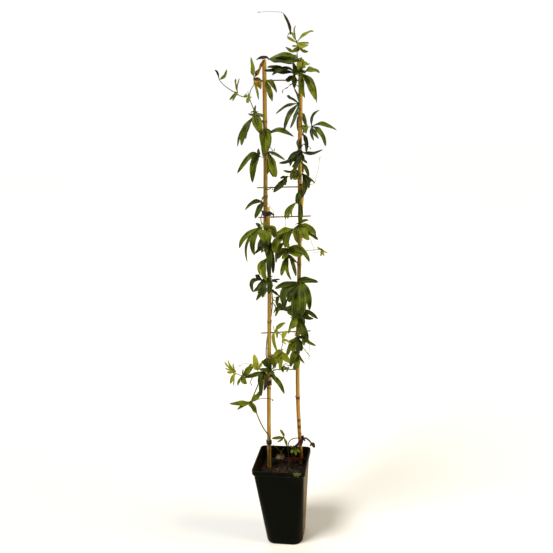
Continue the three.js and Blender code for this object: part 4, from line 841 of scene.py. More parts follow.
class Finish(Graph):
    """A material whose colour, roughness and relief vary over its piece."""

    def __init__(self, name, **constants):
        self.material = bpy.data.materials.new(name)
        self.material.use_nodes = True
        super().__init__(self.material.node_tree)
        self.shader = self.tree.nodes["Principled BSDF"]
        for key, value in constants.items():
            self.shader.inputs[key.replace("_", " ")].default_value = value
        self.place = self.add("ShaderNodeTexCoord").out("Object")

    def stretched(self, x, y, z):
        """The place on the piece, with its axes scaled for grain that runs one way."""
        return self.add("ShaderNodeVectorMath", {"operation": "MULTIPLY"},
                        {0: self.place, 1: (x, y, z)})

    def mark(self, name):
        """The three values that the mesh carries at each point under a name."""
        vector = self.add("ShaderNodeAttribute", {"attribute_name": name}).out("Vector")
        parts = self.add("ShaderNodeSeparateXYZ", None, {0: vector})
        return parts.out("X"), parts.out("Y"), parts.out("Z")

    def mix(self, share, first, second):
        return self.add("ShaderNodeMix", {"data_type": "RGBA"},
                        {0: share, 6: tone_of(first), 7: tone_of(second)}, 2)

    def blend(self, value, *stops):
        return self.add("ShaderNodeValToRGB", {"stops": stops}, {0: value})

    def coat(self, base, roughness, height, depth):
        """Ends the material with its colour, its roughness and a relief of a depth in metres."""
        bump = self.add("ShaderNodeBump", None, {
            "Strength": 1.0, "Distance": depth, "Height": height})
        for name, wire in (("Base Color", base), ("Roughness", roughness), ("Normal", bump)):
            self.tree.links.new(wire.socket, self.shader.inputs[name])
        return self.material


class Grower(Graph):
    """A geometry tree with named inputs, which ends in real geometry with its material."""

    def __init__(self, name, **inputs):
        super().__init__(bpy.data.node_groups.new(name, "GeometryNodeTree"))
        face = self.tree.interface
        face.new_socket("Geometry", in_out="OUTPUT", socket_type="NodeSocketGeometry")
        face.new_socket("Geometry", in_out="INPUT", socket_type="NodeSocketGeometry")
        for key, kind in inputs.items():
            face.new_socket(key.replace("_", " "), in_out="INPUT", socket_type="NodeSocket" + kind)
        face.new_socket("Material", in_out="INPUT", socket_type="NodeSocketMaterial")
        self.given = self.add("NodeGroupInput")

    def end(self, geometry, smooth=True):
        real = self.add("GeometryNodeRealizeInstances", None, {0: geometry})
        shaded = self.add("GeometryNodeSetShadeSmooth", None, {
            "Geometry": real, "Shade Smooth": smooth})
        dressed = self.add("GeometryNodeSetMaterial", None, {
            "Geometry": shaded, "Material": self.given.out("Material")})
        end = self.tree.nodes.new("NodeGroupOutput")
        self.tree.links.new(dressed.socket, end.inputs[0])
        return self

    def grow(self, mesh, **values):
        """Runs the tree on a mesh and gives the result as a plain mesh."""
        carrier = show("carrier", mesh)
        modifier = carrier.modifiers.new("grower", "NODES")
        modifier.node_group = self.tree
        for item in self.tree.interface.items_tree:
            if item.in_out == "INPUT" and item.name.replace(" ", "_") in values:
                modifier[item.identifier] = values[item.name.replace(" ", "_")]
        grown = finished_mesh(carrier)
        bpy.data.objects.remove(carrier)
        return grown

    def place(self, name, mesh, material, slot, node, **values):
        """Runs the tree on a mesh and shows the result as a piece that stands for the node."""
        place_piece(name, self.grow(mesh, Material=material, **values), material, slot, node)


def tube_grower():
    """Runs a round tube along each line of a mesh, as thick as the line's own thickness."""
    grower = Grower("Tube along a line", Sides="Int", Lumps="Float", Lump_scale="Float")
    given = grower.given
    curve = grower.add("GeometryNodeMeshToCurve", None, {0: given})
    thickness = grower.add("GeometryNodeInputNamedAttribute", {"data_type": "FLOAT"},
                           {0: "thickness"})
    place = grower.add("GeometryNodeInputPosition")
    lump = grower.noise(place, given.out("Lump scale"), 2.0) - 0.5
    width = thickness * (1 + lump * given.out("Lumps"))
    profile = grower.add("GeometryNodeCurvePrimitiveCircle", None, {
        "Resolution": given.out("Sides"), "Radius": 1.0})
    tube = grower.add("GeometryNodeCurveToMesh", None, {
        "Curve": curve, "Profile Curve": profile, "Scale": width, "Fill Caps": True})
    return grower.end(tube)


def line_mesh(lines):
    """A mesh of open lines, each (points, thicknesses, marks) in millimetres."""
    points, edges, thickness, marks = [], [], [], []
    for path, radii, mark in lines:
        start = len(points)
        points += list(path)
        edges += [(start + k, start + k + 1) for k in range(len(path) - 1)]
        thickness += list(radii)
        marks += [mark] * len(path) if np.ndim(mark) == 1 else list(mark)
    mesh = bpy.data.meshes.new("lines")
    mesh.from_pydata((np.array(points) * MM).tolist(), edges, [])
    layer = mesh.attributes.new("thickness", "FLOAT", "POINT")
    layer.data.foreach_set("value", np.array(thickness, np.float32) * MM)
    layer = mesh.attributes.new("bark", "FLOAT_VECTOR", "POINT")
    layer.data.foreach_set("vector", np.array(marks, np.float32).ravel())
    return mesh


def scatter_grower():
    """Strews turned and scaled copies of a shape over a mesh."""
    grower = Grower("Strewn pieces", Shape="Object", Density="Float", Smallest="Float",
                    Largest="Float", Tilt="Float", Sink="Float", Seed="Int")
    given = grower.given
    spots = grower.add("GeometryNodeDistributePointsOnFaces", {"distribute_method": "RANDOM"}, {
        "Mesh": given, "Density": given.out("Density"), "Seed": given.out("Seed")})
    size = grower.add("FunctionNodeRandomValue", {"data_type": "FLOAT"}, {
        2: given.out("Smallest"), 3: given.out("Largest"), 8: given.out("Seed")}, 1)
    tilt = given.out("Tilt")
    low = grower.add("ShaderNodeCombineXYZ", None, {0: 0 - tilt, 1: 0 - tilt, 2: 0.0})
    high = grower.add("ShaderNodeCombineXYZ", None, {0: tilt, 1: tilt, 2: 2 * math.pi})
    turn = grower.add("FunctionNodeRandomValue", {"data_type": "FLOAT_VECTOR"}, {
        0: low, 1: high, 8: given.out("Seed") + 7})
    shape = grower.add("GeometryNodeObjectInfo", None, {"Object": given.out("Shape")})
    lower = grower.add("ShaderNodeCombineXYZ", None, {0: 0.0, 1: 0.0, 2: 0 - given.out("Sink")})
    sunk = grower.add("GeometryNodeSetPosition", None, {"Geometry": spots, "Offset": lower})
    strewn = grower.add("GeometryNodeInstanceOnPoints", None, {
        "Points": sunk, "Instance": shape.out("Geometry"), "Rotation": turn, "Scale": size})
    return grower.end(strewn, smooth=False)


def strew(grower, name, ground, shape, material, **values):
    """Strews copies of a shape mesh over a ground mesh and shows them as one piece of the soil."""
    holder = show("shape", shape)
    grower.place(name, ground, material, "soil", "soil", Shape=holder, **values)
    bpy.data.objects.remove(holder)


# ---------------------------------------------------------------- finishes

def plastic_finish(dressing):
    """Dull black moulded plastic with flow streaks, scuffs and dust."""
    f = Finish("pot_plastic", Specular_IOR_Level=0.03, Specular_Tint=(0.9, 1, 0.6, 1),
               Sheen_Weight=0.68, Sheen_Roughness=0.2, Sheen_Tint=(1, 0.6, 0.13, 1))
    streaks = f.noise(f.stretched(160, 160, 9), 1.0, 4.0)
    clouds = f.noise(f.place, 14.0, 5.0)
    scuffs = f.step(f.noise(f.stretched(90, 90, 300), 1.0, 6.0, 1.5), 0.62, 0.75)
    height = f.add("ShaderNodeSeparateXYZ", None, {0: f.place}).out("Z")
    dust = f.step(height, 0.17, 0.205) * f.step(clouds, 0.45, 0.7) * 0.5
    body = f.mix(streaks, dressing.pot_colour, 0x0A0B07)
    dusty = f.mix(dust * 0.3 + scuffs * 0.05, body, 0x3A3428)
    relief = streaks * 0.6 + clouds * 0.4 - scuffs * 0.2
    return f.coat(dusty, 0.3 + clouds * 0.12 + dust * 0.3, relief, 0.0002)


def soil_finish(dressing):
    """Dark peat with brown patches and a grainy relief."""
    f = Finish("potting_soil", Specular_IOR_Level=0.15)
    clods = f.noise(f.place, 260.0, 6.0)
    patches = f.noise(f.place, 45.0, 3.0)
    grains = f.add("ShaderNodeTexVoronoi", None, {"Vector": f.place, "Scale": 900.0})
    base = f.mix(clods, 0x050302, dressing.soil_colour)
    brown = f.mix(f.step(patches, 0.55, 0.8) * 0.4, base, 0x2A180E)
    return f.coat(brown, 0.85 + clods * 0.1, clods + grains * 0.4, 0.0012)


def crumb_finish(name, *tones):
    """Crumbs that differ in tone from one to the next."""
    f = Finish(name, Specular_IOR_Level=0.15)
    cells = f.add("ShaderNodeTexVoronoi", None, {"Vector": f.place, "Scale": 330.0}).out("Color")
    share = f.add("ShaderNodeSeparateColor", None, {0: cells}).out("Red")
    fine = f.noise(f.place, 1500.0, 4.0)
    base = f.blend(share, *[(k / (len(tones) - 1), tone) for k, tone in enumerate(tones)])
    shaded = f.mix(fine * 0.5, base, 0x0C0806)
    return f.coat(shaded, 0.8 + fine * 0.15, fine, 0.0004)


def bamboo_finish(dressing):
    """Varnished bamboo: long fibres, orange stains, dark speckles, darker joints, painted shade."""
    f = Finish("bamboo_cane", Specular_IOR_Level=0.4, Coat_Roughness=0.25)
    along, joint, hollow = f.mark("cane")
    left, warm, scar = f.mark("side")
    fibres = f.noise(f.stretched(900, 900, 14), 1.0, 5.0)
    lanes = f.noise(f.stretched(230, 230, 5), 1.0, 3.0, 0.6)
    stains = f.noise(f.stretched(30, 30, 11), 1.0, 4.0, 0.8)
    speckles = f.step(f.noise(f.stretched(700, 700, 180), 1.0, 2.0), 0.68, 0.76)
    gold = f.mix(lanes, dressing.cane_colour, 0xDCB850)
    # Olive patches follow the stains but gather on the left edge: painted shade over real stains.
    olive = f.mix(f.step(left + stains * 0.6, 0.75, 1.25) * 0.85, gold, 0x5C5408)
    warmed = f.step(stains - left * 0.15, 0.55, 0.3) * (0.25 + warm * 0.7)
    orange = f.mix(warmed, olive, 0xA0560E)
    # A darker brown over the right edge: painted shade.
    shaded = f.mix(f.step(left, 0.22, 0.02) * 0.5, orange, 0x5A3208)
    # Each cane darkens in streaks towards its foot: painted shade.
    shaded_foot = f.mix(f.step(along, 165.0, 95.0) * (0.15 + lanes * 0.75), shaded, 0x4E2C14)
    flecked = f.mix(speckles * 0.7 + f.step(fibres, 0.58, 0.78) * 0.3, shaded_foot, 0x3E220C)
    ringed = f.mix(joint * 0.75, flecked, 0x3A2210)
    worn = scar + fibres * 0.6 - abs(left - 0.45) * 0.7
    scarred = f.mix(f.step(worn, 0.65, 0.95) * 0.85, ringed, 0x4A140A)
    base = f.mix(hollow, scarred, 0xB89A66)
    rough = 0.32 + fibres * 0.2 + joint * 0.25 + hollow * 0.4
    return f.coat(base, rough, fibres * 0.7 + lanes * 0.3 - speckles * 0.3, 0.0003)


def rung_finish(dressing):
    """Split cane, stained reddish brown and greyed."""
    f = Finish("split_cane", Specular_IOR_Level=0.25)
    fibres = f.noise(f.stretched(40, 600, 900), 1.0, 5.0)
    stains = f.noise(f.place, 90.0, 3.0)
    brown = f.mix(fibres, dressing.rung_colour, 0x8A6A4A)
    base = f.mix(f.step(stains, 0.45, 0.7), brown, 0x3A2018)
    return f.coat(base, 0.6 + fibres * 0.25, fibres, 0.0004)


def tie_finish(dressing):
    """Soft black tie tape, finely ribbed and a little dusty."""
    f = Finish("tie_tape", Specular_IOR_Level=0.35)
    ribs = f.add("ShaderNodeTexWave", {"bands_direction": "Z"}, {
        "Vector": f.place, "Scale": 420.0, "Distortion": 0.6}).out("Fac")
    dust = f.noise(f.place, 500.0, 4.0)
    base = f.mix(f.step(dust, 0.5, 0.8) * 0.35, dressing.tie_colour, 0x3A342C)
    return f.coat(base, 0.45 + dust * 0.25, ribs * 0.6 + dust * 0.4, 0.0003)


def stem_finish(dressing):
    """Green shoots, ribbed lengthwise, that turn brown and corky where they are old."""
    f = Finish("vine_stem", Specular_IOR_Level=0.3)
    age, red, _ = f.mark("bark")
    ribs = f.noise(f.stretched(1400, 1400, 60), 1.0, 3.0)
    cork = f.noise(f.place, 420.0, 5.0)
    green = f.mix(ribs, dressing.stem_colour, 0x6E7A22)
    blush = f.mix(red * f.step(cork, 0.7 - red * 0.6, 1.0 - red * 0.6), green, 0x32100F)
    old = f.mix(age, blush, f.mix(cork, 0x2A2010, 0x625026))
    return f.coat(old, 0.5 + age * 0.3, ribs * 0.5 + cork * age, 0.0005)


def leaf_finish(dressing):
    """Leaf blades: veins, older and younger greens, paler undersides and a few brown tips."""
    f = Finish("vine_leaf", Specular_IOR_Level=0.14)
    along, across, under = f.mark("blade")
    age, tone, burn = f.mark("leaf")
    reach = abs(across)
    mottle = f.noise(f.place, 120.0, 4.0)
    clouds = f.noise(f.place, 42.0, 1.0)
    fine = f.noise(f.place, 900.0, 3.0)
    # Side veins leave the rib every few millimetres and sweep towards the tip.
    phase = (along - reach * 0.85 + mottle * 1.6) / millimetres(dressing.vein_spacing)
    ripple = abs(f.maths("FRACT", phase) - 0.5) * 2
    side_vein = f.step(ripple, 0.8, 0.98) * f.step(reach, 0.2, 1.0)
    rib = f.step(reach, 0.75, 0.2)
    vein = f.maths("MAXIMUM", rib, side_vein * 0.4)
    # The leaf's shade: for a listed leaf it carries painted light and shade as well as its green.
    old = f.blend(tone, (0.0, 0x081A0A), (0.35, dressing.leaf_colour),
                  (0.75, 0x566402), (1.0, 0x909818))
    # A darker leaf takes less of the paler marks below, the painted light among them.
    lively = f.step(tone, 0.0, 0.6) * 0.85 + 0.15
    # Broad patches of painted light, then of painted shade, laid at random over the blades.
    bright = f.mix(f.step(clouds, 0.55, 0.25) * lively * 0.6, old, 0x76820C)
    deep = f.mix(f.step(clouds * 0.75 + mottle * 0.25, 0.42, 0.66) * 0.9, bright, 0x0A1402)
    young = f.mix(tone, dressing.young_leaf_colour, 0xA8AC2E)
    # The blade grows lighter from 2 to 6 mm out from its rib: painted shade along the rib.
    blade = f.mix(f.step(reach, 2.0, 6.0) * lively * 0.4, f.mix(age, deep, young), 0x868E12)
    veined = f.mix(vein * (lively * 0.45 + 0.1), blade, 0x969E2A)
    pale = f.mix(under * 0.45, veined, 0x626C2A)
    ruddy = f.mix(f.step(age, -0.05, -0.9), pale, f.mix(fine, 0x16060A, 0x3A1014))
    flamed = f.mix(f.step(mottle, 0.35, 0.65), 0x4A3A0A, 0xA8701E)
    orange = f.mix(f.step(burn, -0.05, -0.8), ruddy, flamed)
    tip = f.step(burn + (mottle - 0.5) * 0.5, 0.3, 0.8)
    base = f.mix(tip, orange, f.mix(fine, 0x170F05, 0x4A3812))
    rough = 0.36 + fine * 0.12 + under * 0.25 + tip * 0.3
    relief = 0.0 - vein * 0.9 + ripple * 0.25 + fine * 0.2
    return f.coat(base, rough, relief, 0.0005)


def simple_finish(name, first, second, scale, roughness):
    """Plant matter of two tones, mottled."""
    f = Finish(name, Specular_IOR_Level=0.2)
    mottle = f.noise(f.place, scale, 4.0)
    fine = f.noise(f.place, scale * 6, 3.0)
    base = f.mix(mottle, first, second)
    return f.coat(base, roughness + fine * 0.15, fine, 0.0003)


# ---------------------------------------------------------------- pot and soil

LIP_BOTTOM = POT_HEIGHT - LIP_HEIGHT
WALL_TOP_HALF = POT_TOP / 2 - LIP_OVERHANG


def wall_half(z):
    """Half the pot's width over its wall at a height."""
    return POT_BASE / 2 + (WALL_TOP_HALF - POT_BASE / 2) * z / POT_HEIGHT


def corner_at(z):
    """The radius of the wall's corners at a height."""
    return POT_CORNER_BASE + (POT_CORNER_TOP - POT_CORNER_BASE) * z / POT_HEIGHT


def pot_mesh():
    """The pot's shell as rings: up the outside, round the lip and down the inside to its floor."""
    def wall(z, inset):
        return rounded_square(wall_half(z) - inset, corner_at(z) - inset, z)

    def lip(z, inset=0.0):
        return rounded_square(POT_TOP / 2 - inset, POT_CORNER_TOP + LIP_OVERHANG - inset, z)

    rings = [wall(0, 2.4), wall(0.4, 1.2), wall(1.2, 0.4), wall(2.4, 0)]
    rings += [wall(z, 0) for z in np.linspace(12, LIP_BOTTOM - 1.2, 14)]
    rings += [wall(LIP_BOTTOM - 0.3, -0.2), lip(LIP_BOTTOM + 0.5, 1.2), lip(LIP_BOTTOM + 1.3, 0.3),
              lip(LIP_BOTTOM + 2.2), lip(POT_HEIGHT - 6), lip(POT_HEIGHT - 1.2),
              lip(POT_HEIGHT - 0.4, 0.3), lip(POT_HEIGHT, 1.0), wall(POT_HEIGHT, POT_WALL - 0.6),
              wall(POT_HEIGHT - 0.5, POT_WALL - 0.1), wall(POT_HEIGHT - 1.4, POT_WALL)]
    rings += [wall(z, POT_WALL) for z in np.linspace(LIP_BOTTOM, POT_WALL + 4, 12)]
    rings += [wall(POT_WALL + 1.6, POT_WALL + 0.7), wall(POT_WALL + 1, POT_WALL + 2)]
    return ring_mesh("pot_shell", rings)


def cut(mesh, cutters):
    """Cuts the cutters' shapes out of a mesh and gives the result as a plain mesh."""
    joined = Skin()
    for points, faces in cutters:
        joined.add(points, faces)
    carrier = show("carrier", mesh)
    tool = show("cutter", joined.mesh("cutter", smooth=False))
    modifier = carrier.modifiers.new("cut", "BOOLEAN")
    modifier.operation, modifier.solver, modifier.object = "DIFFERENCE", "EXACT", tool
    result = finished_mesh(carrier)
    bpy.data.objects.remove(carrier)
    bpy.data.objects.remove(tool)
    return result


def prism(outline, low, high):
    """A closed prism over an outline of (x, y) points, from low to high."""
    count = len(outline)
    points = [(x, y, z) for z in (low, high) for x, y in outline]
    faces = [(i, (i + 1) % count, count + (i + 1) % count, count + i) for i in range(count)]
    return points, [*faces, tuple(reversed(range(count))), tuple(range(count, 2 * count))]


def drain_holes():
    """Cutters for the four round holes through the floor."""
    circle = [(DRAIN_RADIUS * math.cos(a), DRAIN_RADIUS * math.sin(a))
              for a in round_angles(24)]
    return [prism([(x + sx * DRAIN_OFFSET, y + sy * DRAIN_OFFSET) for x, y in circle], -6, 6)
            for sx in (1, -1) for sy in (1, -1)]


def soil_height(x, y):
    """The height of the soil's surface: slow lumps with rough clods on them."""
    lump = 2.2 * math.sin(x / 9 + 1.3) * math.cos(y / 11) + 1.2 * math.sin((x + y) / 5.5)
    rough = noise.fractal(Vector((x / 7, y / 7, 0.4)), 0.9, 2.1, 5)
    return SOIL_TOP + lump + 1.3 * rough


def soil_skins():
    """The whole block of soil, and its top alone, which carries what lies on it."""
    def level(z):
        return rounded_square(wall_half(z) - SOIL_INSET, corner_at(z) - SOIL_INSET, z, per_side=16)

    block, top = Skin(), Skin()
    edge = np.array(level(SOIL_TOP - 3))
    rings = [level(z) for z in (POT_WALL + 1.4, 12, 30, 60, 90, 120, 150, SOIL_TOP - 8)] + [edge]
    surface = []
    for share in np.linspace(0.985, 0.02, 44):
        ring = edge * (share, share, 1)
        ring[:, 2] = [soil_height(x, y) - 2 * max(share - 0.9, 0) * 10 for x, y, _ in ring]
        surface.append(ring)
    block.add_rings(rings + surface)
    top.add_rings(surface, caps=False)
    return block, top


def rough_stone(name, seed, squash=0.7):
    """A crumb of a few dozen faces, about one millimetre across."""
    shape = bmesh.new()
    bmesh.ops.create_icosphere(shape, subdivisions=1, radius=0.5 * MM)
    for k, vertex in enumerate(shape.verts):
        swell = 1 + 0.45 * noise.noise(Vector((seed, k * 1.7, 0.3)))
        x, y, z = vertex.co
        vertex.co = Vector((x * swell, y * swell * 0.85, z * swell * squash))
    mesh = bpy.data.meshes.new(name)
    shape.to_mesh(mesh)
    shape.free()
    return mesh


def tapered_blade(name, length, width, bend, rows=5):
    """A thin three-sided blade, such as a moss leaf or a splinter of straw."""
    path = np.array([(bend * t * t * length, 0, t * length) for t in np.linspace(0, 1, rows)])
    radii = [max(width / 2 * (1 - t ** 1.5), width * 0.06) for t in np.linspace(0, 1, rows)]
    return ring_mesh(name, round_rings(path, radii, 3), smooth=False)


def moss_bed(middle, reach):
    """A small bed over the edge of the front lip and most of the way down its face."""
    front, strips = -POT_TOP / 2, 12
    skin, grid = Skin(), []
    for t in np.linspace(-1, 1, strips + 1):
        x = middle + reach * t
        spread = math.sqrt(max(1 - t * t, 0.01)) * (0.8 + 0.3 * math.sin(t * 9))
        grid += [(x, front + 1.2 * spread, POT_HEIGHT), (x, front, POT_HEIGHT),
                 (x, front, POT_HEIGHT - 8 * spread)]
    faces = [(k, k + 1, k + 4, k + 3) for row in range(strips) for k in (3 * row, 3 * row + 1)]
    skin.add(grid, faces)
    return skin.mesh("moss_bed")


def patch(middle, radii, lift, heap=0.0, rings=6, sides=20):
    """A small piece of the soil's surface round a middle point, heaped up towards it."""
    surface = []
    for share in np.linspace(1, 0.08, rings):
        ring = []
        for angle in round_angles(sides):
            c, s = math.cos(angle), math.sin(angle)
            wobble = 1 + 0.3 * noise.noise(Vector((c * 2, s * 2, middle[0])))
            x = middle[0] + radii[0] * share * wobble * c
            y = middle[1] + radii[1] * share * wobble * s
            ring.append((x, y, soil_height(x, y) + lift + heap * (1 - share)))
        surface.append(ring)
    return ring_mesh("patch", surface, caps=False)


# ---------------------------------------------------------------- trellis

# The shape of a cane's joint: places along it, how far each swells and how dark it is.
JOINT_SHAPE = ((-16, 0.0, 0.0), (-7, 0.1, 0.1), (-3, 0.3, 0.25), (-1.4, 0.62, 0.5),
               (-0.6, 0.55, 1.0), (0.0, 0.12, 1.0), (0.7, 0.5, 0.9), (2.0, 0.34, 0.35),
               (5, 0.12, 0.1), (12, 0.0, 0.0))
# A pruned bud beside a joint: how far each place is from the cane's middle, how far up, its radius.
BUD_SHAPE = ((3.3, -0.4, 1.7), (4.9, 0.6, 1.5), (6.0, 1.5, 1.1), (6.5, 2.0, 0.6))

# A cane's sides and plain stations. A joint's own stations take the place of the plain ones from
# JOINT_BELOW under it to JOINT_ABOVE over it, and no joint is nearer to the top than JOINT_FREE.
CANE_SIDES = 20
CANE_STEP = 9.0
END_STEP = 0.6
JOINT_BELOW, JOINT_ABOVE, JOINT_FREE = 17, 13, 20
# Its sawn ends: how far they are rounded, and how wide and deep their hollow is.
END_CHAMFER = 0.35
HOLLOW_SHARE, HOLLOW_DEPTH = 0.62, 7.0


def cane_stations(name, length):
    """The joints of a cane, and its stations as rows of distance, swell and darkness."""
    joints = np.arange(FIRST_JOINT[name], length - JOINT_FREE, CANE_JOINT_SPACING)
    plain = np.arange(END_STEP, length - END_STEP, CANE_STEP)
    stations = {round(float(at), 2): (0.0, 0.0) for at in plain}
    for joint in joints:
        stations = {at: mark for at, mark in stations.items()
                    if not -JOINT_BELOW < at - joint < JOINT_ABOVE}
        stations.update({round(float(joint + offset), 2): mark for offset, *mark in JOINT_SHAPE})
    rows = [(at, *stations[at]) for at in sorted(stations)]
    return joints, np.array([(0.0, -END_CHAMFER, 0.0), *rows, (length, -END_CHAMFER, 0.0)])


def hollow_end(ring, inward):
    """The two rings of a sawn end, from its edge down into the hollow of the cane."""
    middle = ring.mean(axis=0)
    edge = middle + (ring - middle) * HOLLOW_SHARE
    return edge, edge + inward * HOLLOW_DEPTH


def cane_mesh(name):
    """One cane with its joints, its pruned buds and its sawn, hollow ends."""
    depth, line = CANES[name]
    path = smooth_path([on_trellis(u, depth, w) for u, w in line])
    length = lengths_along(path)[-1]
    joints, stations = cane_stations(name, length)
    distances, swells, darks = stations.T
    radii = CANE_RADIUS + swells - CANE_TAPER * distances / length
    angles = round_angles(CANE_SIDES)
    ripple = [[1 + 0.018 * noise.noise(Vector((math.cos(a) * 1.5, math.sin(a) * 1.5, at / 25)))
               for a in angles] for at in distances]
    rings = round_rings(points_at(path, distances), radii, CANE_SIDES, np.array(ripple))
    foot_edge, foot_hollow = hollow_end(rings[0], unit(path[1] - path[0]))
    top_edge, top_hollow = hollow_end(rings[-1], unit(path[-2] - path[-1]))
    rings = np.array([foot_hollow, foot_edge, *rings, top_edge, top_hollow])
    # From 1 where a point faces left to 0 where it faces right; it places the painted edge shade.
    outward = rings - rings.mean(axis=1, keepdims=True)
    left = 0.5 - 0.5 * outward.dot(ACROSS) / np.maximum(np.linalg.norm(outward, axis=2), 1e-9)
    scars = 0 * distances
    for at, reach in SCARS[name]:
        scars = np.maximum(scars, np.exp(-((distances - at) / reach) ** 2))
    # The two rings at each end have no joint and no scar, and are marked as hollow instead.
    along, dark, scar = (np.pad(values, 2)[:, None] for values in (distances, darks, scars))
    hollow = np.pad(0 * distances, 2, constant_values=1)[:, None]
    skin = Skin()
    skin.add_rings(rings, cane=marks_of(left.shape, along, dark, hollow),
                   side=marks_of(left.shape, left, WARMTH[name], scar))
    for k, joint in enumerate(joints):
        centre, ahead = points_at(path, [joint + 1.5, joint + 3.5])
        outward = unit(np.cross(ahead - centre, BEHIND if k % 2 else -BEHIND)
                       + BEHIND * (0.5 if k % 3 else -0.6))
        upward = unit(ahead - centre)
        bud = [centre + outward * reach + upward * rise for reach, rise, _ in BUD_SHAPE]
        bud_rings = round_rings(np.array(bud), [radius for *_, radius in BUD_SHAPE], 8)
        skin.add_rings(bud_rings, cane=(0, 0.7, 0), side=(0.5, 0.5, 0))
    return skin.mesh(name)


def rung_mesh(name):
    """A split cane that stands through both canes of its ladder."""
    depth, w, start, end = RUNGS[name]
    along, sides, end_share = np.linspace(0, 1, 26), 12, 0.82
    path = np.array([on_trellis(start + (end - start) * t, depth,
                                w + 0.35 * noise.noise(Vector((t * 5, w, 0)))) for t in along])
    angles = round_angles(sides)
    shape = 1 - 0.1 * np.cos(angles * 2) + 0.05 * np.cos(angles * 3)
    swells = [1 + 0.06 * noise.noise(Vector((t * 9, w, 3))) for t in along[1:-1]]
    radii = RUNG_RADIUS * np.array([end_share, *swells, end_share])
    return ring_mesh(name, round_rings(path, radii, sides, shape, start=tuple(W)))


# How far the tape stays inside its tie's height, its half width as a share of one wrap, which makes
# the wraps overlap, and how square its edges are.
TAPE_MARGIN = 0.3
TAPE_OVERLAP = 0.56
TAPE_SQUARENESS = 0.6

# The knot's radius, how far out it sits, and its two short ends: how far each leans sideways and
# droops as shares of its length, and that length.
KNOT_RADIUS = 1.9
KNOT_REACH = 1.1
KNOT_ENDS = ((-0.8, -0.7, 6.0), (0.9, -0.5, 5.0))
END_RADII = (1.0, 1.05, 1.0, 0.95, 0.95, 0.9, 0.9, 0.8)


def tie_mesh(name):
    """Tape wound a few times round what it holds, with a knot and two short ends."""
    w, height, a, b = TIES[name]
    a, b = np.array(a, float), np.array(b, float)
    heading = math.atan2(b[1] - a[1], b[0] - a[0])
    straight = math.hypot(*(b - a)[:2])
    spread = math.acos((a[2] - b[2]) / straight)
    middle = TIE_CLEARANCE + TIE_THICKNESS / 2
    arcs = ((b, a, heading - spread, 2 * spread),
            (a, b, heading + spread, 2 * math.pi - 2 * spread))
    sizes = [(centre[2] + middle) * sweep for centre, _, _, sweep in arcs]

    def around(turn_share):
        """A place on the tape's line, and the way out from it, for a share of one turn."""
        at = (turn_share % 1) * (sum(sizes) + 2 * straight)
        for (centre, other, first, sweep), size in zip(arcs, sizes):
            angle = first + sweep * min(at, size) / size
            out = np.array((math.cos(angle), math.sin(angle)))
            place, far = (one[:2] + out * (one[2] + middle) for one in (centre, other))
            if at <= size:
                return place, out
            at -= size
            if at <= straight:
                return place + (far - place) * at / straight, out
            at -= straight
        return around(0)

    room = height - 2 * TAPE_MARGIN
    tape = room / TIE_WRAPS
    skin, rings = Skin(), []
    for t in np.linspace(0, 1, 64 * TIE_WRAPS + 1):
        (u, v), out = around(t * TIE_WRAPS + 0.3)
        rise = TAPE_MARGIN + tape / 2 + t * (room - tape)
        bulge = 0.12 * math.sin(t * 40) + 0.1 * math.sin(t * 91)
        ring = []
        for angle in np.linspace(2 * math.pi, 0, 10, endpoint=False):
            x = (TIE_THICKNESS / 2 + 0.1 + bulge * 0.5) * math.cos(angle)
            flat = math.copysign(abs(math.sin(angle)) ** TAPE_SQUARENESS, math.sin(angle))
            z = tape * TAPE_OVERLAP * flat
            ring.append(on_trellis(u + out[0] * x, v + out[1] * x, w + rise + z))
        rings.append(ring)
    skin.add_rings(rings)
    share, size = KNOTS[name]
    (u, v), out = around(share)
    knot = on_trellis(u + out[0] * KNOT_REACH, v + out[1] * KNOT_REACH, w + height / 2)
    outward = U * out[0] + BEHIND * out[1]
    sideways = np.cross(W, outward)
    for lean, droop, reach in KNOT_ENDS:
        path = [knot + (outward * (0.6 + 0.8 * t + 3 * (size - 1) * t) + sideways * lean * reach * t
                        + W * droop * reach * t * t) * size
                for t in np.linspace(0, 1, len(END_RADII))]
        skin.add_rings(round_rings(np.array(path), np.array(END_RADII) * size ** 0.5, 8))
    along = np.linspace(-1, 1, 9)
    bulb = np.array([knot + sideways * t * KNOT_RADIUS * size for t in along])
    radii = [KNOT_RADIUS * size * math.sqrt(1.02 - t * t) for t in along]
    skin.add_rings(round_rings(bulb, radii, 10))
    return skin.mesh(name)


# ---------------------------------------------------------------- the plant

LOBE_ROWS = 17
LOBE_COLUMNS = 8
# The share of a lobe's length at which its heading is taken, for the layers.
HEADING_SHARE = 0.36


def lobe_outline(t):
    """A lobe's half width, as a share of its greatest, from the hub at 0 to the tip at 1."""
    return (0.26 + 0.74 * smooth_step(t, 0.0, 0.42)) * (1 - t ** 3.2) ** 0.62


def layer_of(angles):
    """Shares lobes out to layers, so that no two of a layer lie on one another."""
    layers, chosen = [], []
    for angle in angles:
        for k, layer in enumerate(layers):
            if all(min((angle - o) % (2 * math.pi), (o - angle) % (2 * math.pi)) > LEAST_ANGLE
                   for o in layer):
                layer.append(angle)
                chosen.append(k)
                break
        else:
            layers.append([angle])
            chosen.append(len(layers) - 1)
    return chosen


def leaf_frame(hub, lobes):
    """The hub's place, the side of the trellis, and the leaf's face, right and up directions."""
    place = seen(hub)
    side = 1 if hub[1] > 0 else -1
    heading = unit(sum(seen(lobe) - place for lobe in lobes))
    # A leaf faces out from the trellis and somewhat up, and leans back the way its lobes hang.
    face = BEHIND * 0.8 * side + UP * 0.6
    face = unit(face - 0.8 * face.dot(heading) * heading)
    right = unit(U - face * U.dot(face))
    return place, side, face, right, np.cross(face, right)


def youth(hub):
    """How young the leaf at a hub is."""
    return YOUNG.get((hub[0], hub[2]), 0.0)


